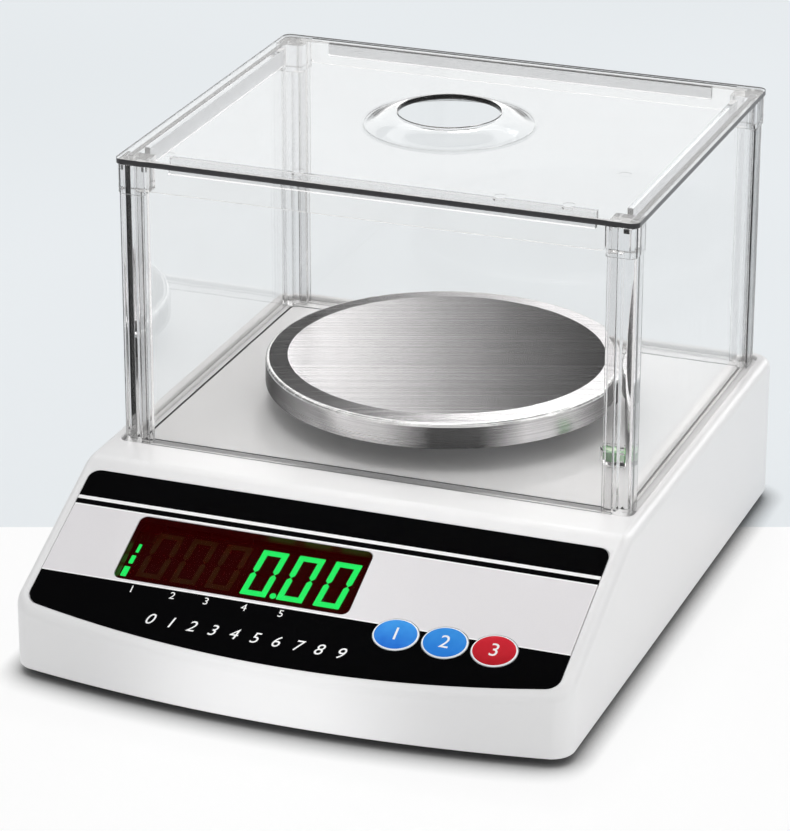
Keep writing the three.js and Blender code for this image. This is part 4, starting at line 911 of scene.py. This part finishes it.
def digit(name, middle, finish):
    """A zero on seven bars, leaned and laid on the slope. Its middle bar is dark."""
    side, half, mid_bar = digit_width / 2, digit_height / 2, bar_width / 2
    bars = {"middle": ((bar_width - side, -mid_bar), (side - bar_width, mid_bar), [
        ((way * (side - mid_bar - bar_gap), 0), (way, up)) for way in (-1, 1) for up in (-1, 1)])}
    for up, rise in ((1, "top"), (-1, "bottom")):
        edge, inside = up * half, up * (half - bar_width)
        bars[rise] = ((-side, min(edge, inside)), (side, max(edge, inside)), [
            ((way * (side - bar_gap), edge), (way, up)) for way in (-1, 1)])
        for way, hand in ((-1, "left"), (1, "right")):
            outer, inner = way * side, way * (side - bar_width)
            low, high = (min(outer, inner), min(0, edge)), (max(outer, inner), max(0, edge))
            bars[rise + "_" + hand] = (low, high, [
                ((outer, edge - up * bar_gap), (-way, up)),
                ((outer - way * mid_bar, up * bar_gap / 2), (-way, -up)),
                ((outer - way * mid_bar, up * bar_gap / 2), (way, -up))])
    for part, (low, high, cuts) in bars.items():
        piece = bar("%s_%s" % (name, part), low, high, cuts)
        for corner in piece.data.vertices:
            corner.co.x += corner.co.y * digit_lean + middle
            corner.co.y += digits_down
        onto_slope(piece)
        dress(module_face if part == "middle" else finish, piece)
        mount(piece, "base", slot="window_tint")


for number, x in enumerate((-57.9, -45.3, -32.7)):
    digit("dark_digit_%d" % number, x * mm, unlit)
for number, x in enumerate((-19.65, -6.5, 6.7)):
    digit("lit_digit_%d" % number, x * mm, lit)
point = onto_slope(drum("lit_point", (-13.4 * mm, -45.1 * mm), 2.2 * mm, 2.2 * mm, bar_low, bar_top, 24))
dress(lit, point)
mount(point, "base", slot="window_tint")

strip_block = block("lamp_block", (-69 * mm, -51.4 * mm, bar_low - 8 * mm),
                    (-61.6 * mm, -30.8 * mm, bar_low))
edit(strip_block)
soften(0.3 * mm, 2, lambda edge: True)
done(strip_block)
onto_slope(strip_block)
dress(module_face, smooth(strip_block))
mount(strip_block, "base", "led_indicators", slot="window_tint")
strip_right = -66.2
for number, (low, high, width) in enumerate(((-36, -32.4, 1), (-41.1, -37.6, 1.45), (-46.9, -42.7, 2))):
    strip = block("lit_strip_%d" % number, ((strip_right - width) * mm, low * mm, bar_low),
                  (strip_right * mm, high * mm, bar_top))
    edit(strip)
    soften(0.12 * mm, 2, upright)
    done(strip)
    for corner in strip.data.vertices:
        corner.co.x += (corner.co.y - digits_down) * 0.04
    onto_slope(strip)
    dress(lit, strip)
    mount(strip, "base", slot="window_tint")


# Display window
# A dark red tinted acrylic plate, polished on its face, stands in its hole in the slope. It ends level
# with the film and is glued in from below by its edge.
window = onto_slope(window_form("tinted_window", 0, -3.1 * mm, 0.2 * mm))
tint, start = new_finish("window_tint")
haze = grain(start, 120, detail=2)
start.surface({
    "Base Color": start.mix(haze, rgb(50, 0, 0), rgb(58, 1, 1)), "Roughness": 0.1 + haze * 0.04,
    "Specular IOR Level": 0.03, "Alpha": 0.45})
window_rim = moulded("window_rim", rgb(46, 2, 2), rgb(40, 1, 1), 0.4)
outward = Vector((0, -math.sin(slope), math.cos(slope)))
dress(tint, smooth(window))
darken(window, window_rim, lambda face: abs(face.normal.dot(outward)) < 0.5)
mount(window, "base", "display_window", slot="window_tint")


# Printed film
# A gloss film, printed from behind in black and light grey with white rules, lies in its pocket with
# holes for the window and the keys. The place of its words holds plain rules and numbers.
film = film_form("printed_film", 0, -0.3 * mm, 0.2 * mm)
cut_away(film, window_form("window_gap", 0.3 * mm, -5 * mm, 5 * mm),
         *[drum("key_gap", spot, *key_pocket, -5 * mm, 5 * mm) for spot in key_places])
onto_slope(film)
ink, start = new_finish("film_print")
x, y, z = start.position()
down = ((crease - y) * math.cos(slope) + (deck - z) * math.sin(slope)) * 1000


def band(top, bottom):
    return (down > top) * (down < bottom)


grey_band = band(22.9, 52.6)
rules = band(18.6, 20.1) + band(22.3, 22.9) + band(52.6, 53.1)
dust = grain(start, 3000, detail=2)
paper = start.mix(dust, rgb(229, 227, 229), rgb(234, 232, 234))
print_colour = start.mix(rules, start.mix(grey_band, rgb(4, 4, 5), paper), rgb(252, 252, 252))
start.surface({
    "Base Color": print_colour, "Roughness": 0.3 + dust * 0.06, "Specular IOR Level": 0.02,
    "Normal": start.bump(0.3, 0.006 * mm, dust)})
dress(ink, smooth(film))
mount(film, "base", "panel_film", slot="panel_print")

white_ink = moulded("white_ink", rgb(252, 252, 252), rgb(246, 246, 246), 0.4)


def marking(name, number, x, down, size, slant=0.0, lift=0.22 * mm):
    """A plain number printed in white on the slope."""
    deselect()
    bpy.ops.object.text_add()
    piece = named(name)
    piece.data.body = number
    piece.data.size, piece.data.shear = size, slant
    piece.data.align_x, piece.data.align_y = "CENTER", "CENTER"
    piece.data.extrude = 0.02 * mm
    bpy.ops.object.convert(target="MESH")
    piece = named(name)
    piece.location = (x, -down, lift)
    onto_slope(settle(piece))
    dress(white_ink, piece)
    return piece


for number, x in enumerate((-59.9, -45.0, -32.8, -19.1, -5.9)):
    mark = marking("unit_mark_%d" % (number + 1), str(number + 1), x * mm, 55.6 * mm, 4.2 * mm)
    mount(mark, "base", slot="panel_print")
for number in range(10):
    x, down = -49 + number * 7.6, 67.3 + (number - 4.5) * 0.12
    mark = marking("scale_number_%d" % number, str(number), x * mm, down * mm, 6.4 * mm, slant=0.25)
    mount(mark, "base", slot="panel_print")


# Keys
# Three oval membrane keys with a slight crown, printed blue, blue and red inside a white rim, with a
# painted highlight that lightens each towards its upper end. Each bears a plain number.
key_width, key_length, plunger_width = 15.8 * mm, 13.2 * mm, 7 * mm
cap_rings = [(0.5, -0.5), (0.5, 0.22), (0.485, 0.38), (0.46, 0.47), (0.4, 0.5), (0.25, 0.5), (0.03, 0.5)]
key_looks = [("key_zero", "key_blue", rgb(8, 92, 208), rgb(70, 170, 246)),
             ("key_count", "key_blue", rgb(16, 112, 214), rgb(60, 156, 236)),
             ("key_tare", "key_red", rgb(168, 4, 20), rgb(222, 36, 54))]
for number, ((key_x, key_y), (body, colour_slot, deep, bright)) in enumerate(zip(key_places, key_looks), 1):
    key = "key_%d" % number
    cap = solid_turned("cap_" + key, (0, 0), cap_rings, 64)
    cap.scale = (key_width, key_length, mm)
    cap.location = (key_x, key_y, 0)
    settle(cap)
    add_to(cap, drum("plunger", (key_x, key_y), plunger_width, plunger_width, -5.1 * mm, -0.2 * mm, 32))
    onto_slope(cap)
    paint, start = new_finish("print_" + key)
    x, y, z = start.position()
    mid_y, mid_z = crease + key_y * math.cos(slope), deck + key_y * math.sin(slope)
    over = (x - key_x) / (key_width / 2)
    along = ((y - mid_y) * math.cos(slope) + (z - mid_z) * math.sin(slope)) / (key_length / 2)
    reach = (over * over + along * along) ** 0.5
    cloud = grain(start, 260, detail=2)
    # Painted highlight: the key face goes from deep to bright towards its upper end; the cloud is random
    # tone.
    face = start.mix(along * 0.35 + 0.3 + cloud * 0.4, deep, bright)
    start.surface({
        "Base Color": start.mix(reach > 0.93, face, rgb(246, 250, 252)), "Roughness": 0.3 + cloud * 0.08,
        "Specular IOR Level": 0.15})
    dress(paint, smooth(cap))
    mount(cap, body, key, slot=colour_slot)
    mark = marking("number_" + key, str(number), key_x, -key_y, 7.5 * mm, lift=0.51 * mm)
    mount(mark, body, slot="panel_print")


# Sockets at the back
# The pocket at the back holds the round power inlet and a rocker switch in a frame. All are black
# moulded plastic, snapped into their holes from outside.
dress(black_plastic, "power_inlet", "power_switch_frame", "power_rocker")


# Table, light and camera
# A white table that turns pale blue-grey behind the object, with a painted contact shadow round the
# housing, soft lamps above, behind and at the right, a narrow beam on the front wall, and a long lens
# that looks down from the front right.
deselect()
bpy.ops.mesh.primitive_plane_add(size=6)
table = named("table")
table_paint, start = new_finish("table_paint")
x, y, z = start.position()
far = y * 0.934 - x * 0.357 > 0.0489
blue = start.mix(grain(start, 3, detail=1), rgb(228, 233, 236), rgb(237, 241, 244))
colour = start.mix(far, rgb(255, 255, 255), blue)


def towards_front(at_sides, at_front):
    """A value that changes where the table meets the front of the housing."""
    return start.node("MapRange", {}, {
        "Value": y, "From Min": -0.112, "From Max": -0.13, "To Min": at_sides, "To Max": at_front})


# Painted contact shadow: ambient occlusion darkens the colour of the table round the housing, wider at the
# front.
reach = towards_front(8.5 * mm, 13 * mm)
open_sky = start.node("AmbientOcclusion", {"samples": 8}, {"Distance": reach}, output="AO")
painted_contact_shadow = start.node("MapRange", {}, {"Value": open_sky, "From Min": towards_front(0.46, 0.36)})
shaded = start.mix(painted_contact_shadow, (0, 0, 0, 1), colour)
path = start.node("LightPath", output="Is Camera Ray")
shown = path + path.output("Is Transmission Ray") * (path.output("Diffuse Depth") < 0.5)
matt = start.node("BsdfPrincipled", {}, {"Base Color": colour, "Roughness": 0.6})
bright = start.node("Emission", {}, {"Color": shaded, "Strength": 1.0})
top_side = start.node("MixShader", {}, {0: shown * 0.82, 1: matt, 2: bright})
below = start.node("NewGeometry", output="Backfacing")
start.node("OutputMaterial", {}, {"Surface": start.node("MixShader", {}, {
    0: below, 1: top_side, 2: start.node("BsdfTransparent")})})
dress(table_paint, table)


def lamp(name, kind, spot, aim, power, **settings):
    """A lamp that stands at a spot and shines at its aim."""
    light = bpy.data.lights.new(name, kind)
    light.energy = power
    for setting, value in settings.items():
        setattr(light, setting, value)
    stand = bpy.data.objects.new(name, light)
    bpy.context.scene.collection.objects.link(stand)
    stand.location = spot
    stand.rotation_euler = (Vector(aim) - Vector(spot)).to_track_quat("-Z", "Y").to_euler()
    return stand


above = lamp("soft_box_above", "AREA", (-0.1, -0.1, 1.35), (0, 0, 0), 2.9,
             shape="RECTANGLE", size=0.5, size_y=0.5)
back = lamp("soft_box_behind", "AREA", (-0.22, 0.85, 0.9), (0, 0.04, 0.06), 2.1,
            shape="RECTANGLE", size=0.14, size_y=0.14)
lamp("soft_box_right", "AREA", (1.5, -0.2, 0.5), (0, 0, 0.04), 3.1,
     shape="RECTANGLE", size=0.8, size_y=0.6)
front = lamp("front_beam", "SPOT", (0.02, -1.33, 0.09), (-0.003, -0.13, 0.004), 17,
             spot_size=math.radians(5.6), spot_blend=1.0, shadow_soft_size=0.02)
for stand in (above, back, front):
    stand.visible_glossy = False
world = bpy.data.worlds.new("studio")
bpy.context.scene.world = world
world.use_nodes = True
world.node_tree.nodes.clear()
start = Signal(world.node_tree)
sky = start.node("SeparateXYZ", {}, {0: start.node("TexCoord", output="Generated")})
across, away, height = [sky.output(name) for name in "XYZ"]
band_above = (height > 0.62) * (height < 0.78)
strip_behind = (across > 0.12) * (across < 0.42) * (away > 0) * (height > 0.1) * (height < 0.62)
path = start.node("LightPath", output="Is Glossy Ray")
through, bounced = path.output("Is Transmission Ray"), path.output("Glossy Depth") > 0.5
undiffused = path.output("Diffuse Depth") < 0.5
straight = through * (1 - bounced) * undiffused
mirrored = path.maths("MAXIMUM", path, through) * undiffused - straight
inside = through * bounced * (away > 0.62) * (height > 0.08) * (height < 0.66) * (across < 0.15)
flags = (abs(across) > 0.75) * (height < 0.5)
gloss = 0.6 + inside * 1.1 + band_above + strip_behind * 2.8 - (height > 0.8) * 0.3 - flags * 0.45
strength = 0.64 + mirrored * (gloss - 0.64) + (path.output("Is Camera Ray") + straight) * 0.28
start.node("OutputWorld", {}, {"Surface": start.node("Background", {}, {
    "Color": (1, 1, 1, 1), "Strength": strength})})

turn, tilt, roll = math.radians(20.51), math.radians(22.48), math.radians(0.16)
backwards = Vector((math.sin(turn) * math.cos(tilt), -math.cos(turn) * math.cos(tilt), math.sin(tilt)))
level = Vector((math.cos(turn), math.sin(turn), 0))
over = backwards.cross(level)
right = level * math.cos(roll) + over * math.sin(roll)
up = backwards.cross(right)
lens = bpy.data.cameras.new("lens")
lens.lens, lens.sensor_width, lens.sensor_fit = 178.33, 36, "HORIZONTAL"
lens.shift_x, lens.shift_y = -8.29 / 790, -4.76 / 790
lens.clip_start, lens.clip_end = 0.05, 20
camera = bpy.data.objects.new("camera", lens)
bpy.context.scene.collection.objects.link(camera)
facing = Matrix((right, up, backwards)).transposed().to_4x4()
camera.matrix_world = Matrix.Translation((0.4421, -1.1853, 0.5900)) @ facing
bpy.context.scene.camera = camera
bpy.context.scene.view_settings.view_transform = "Standard"
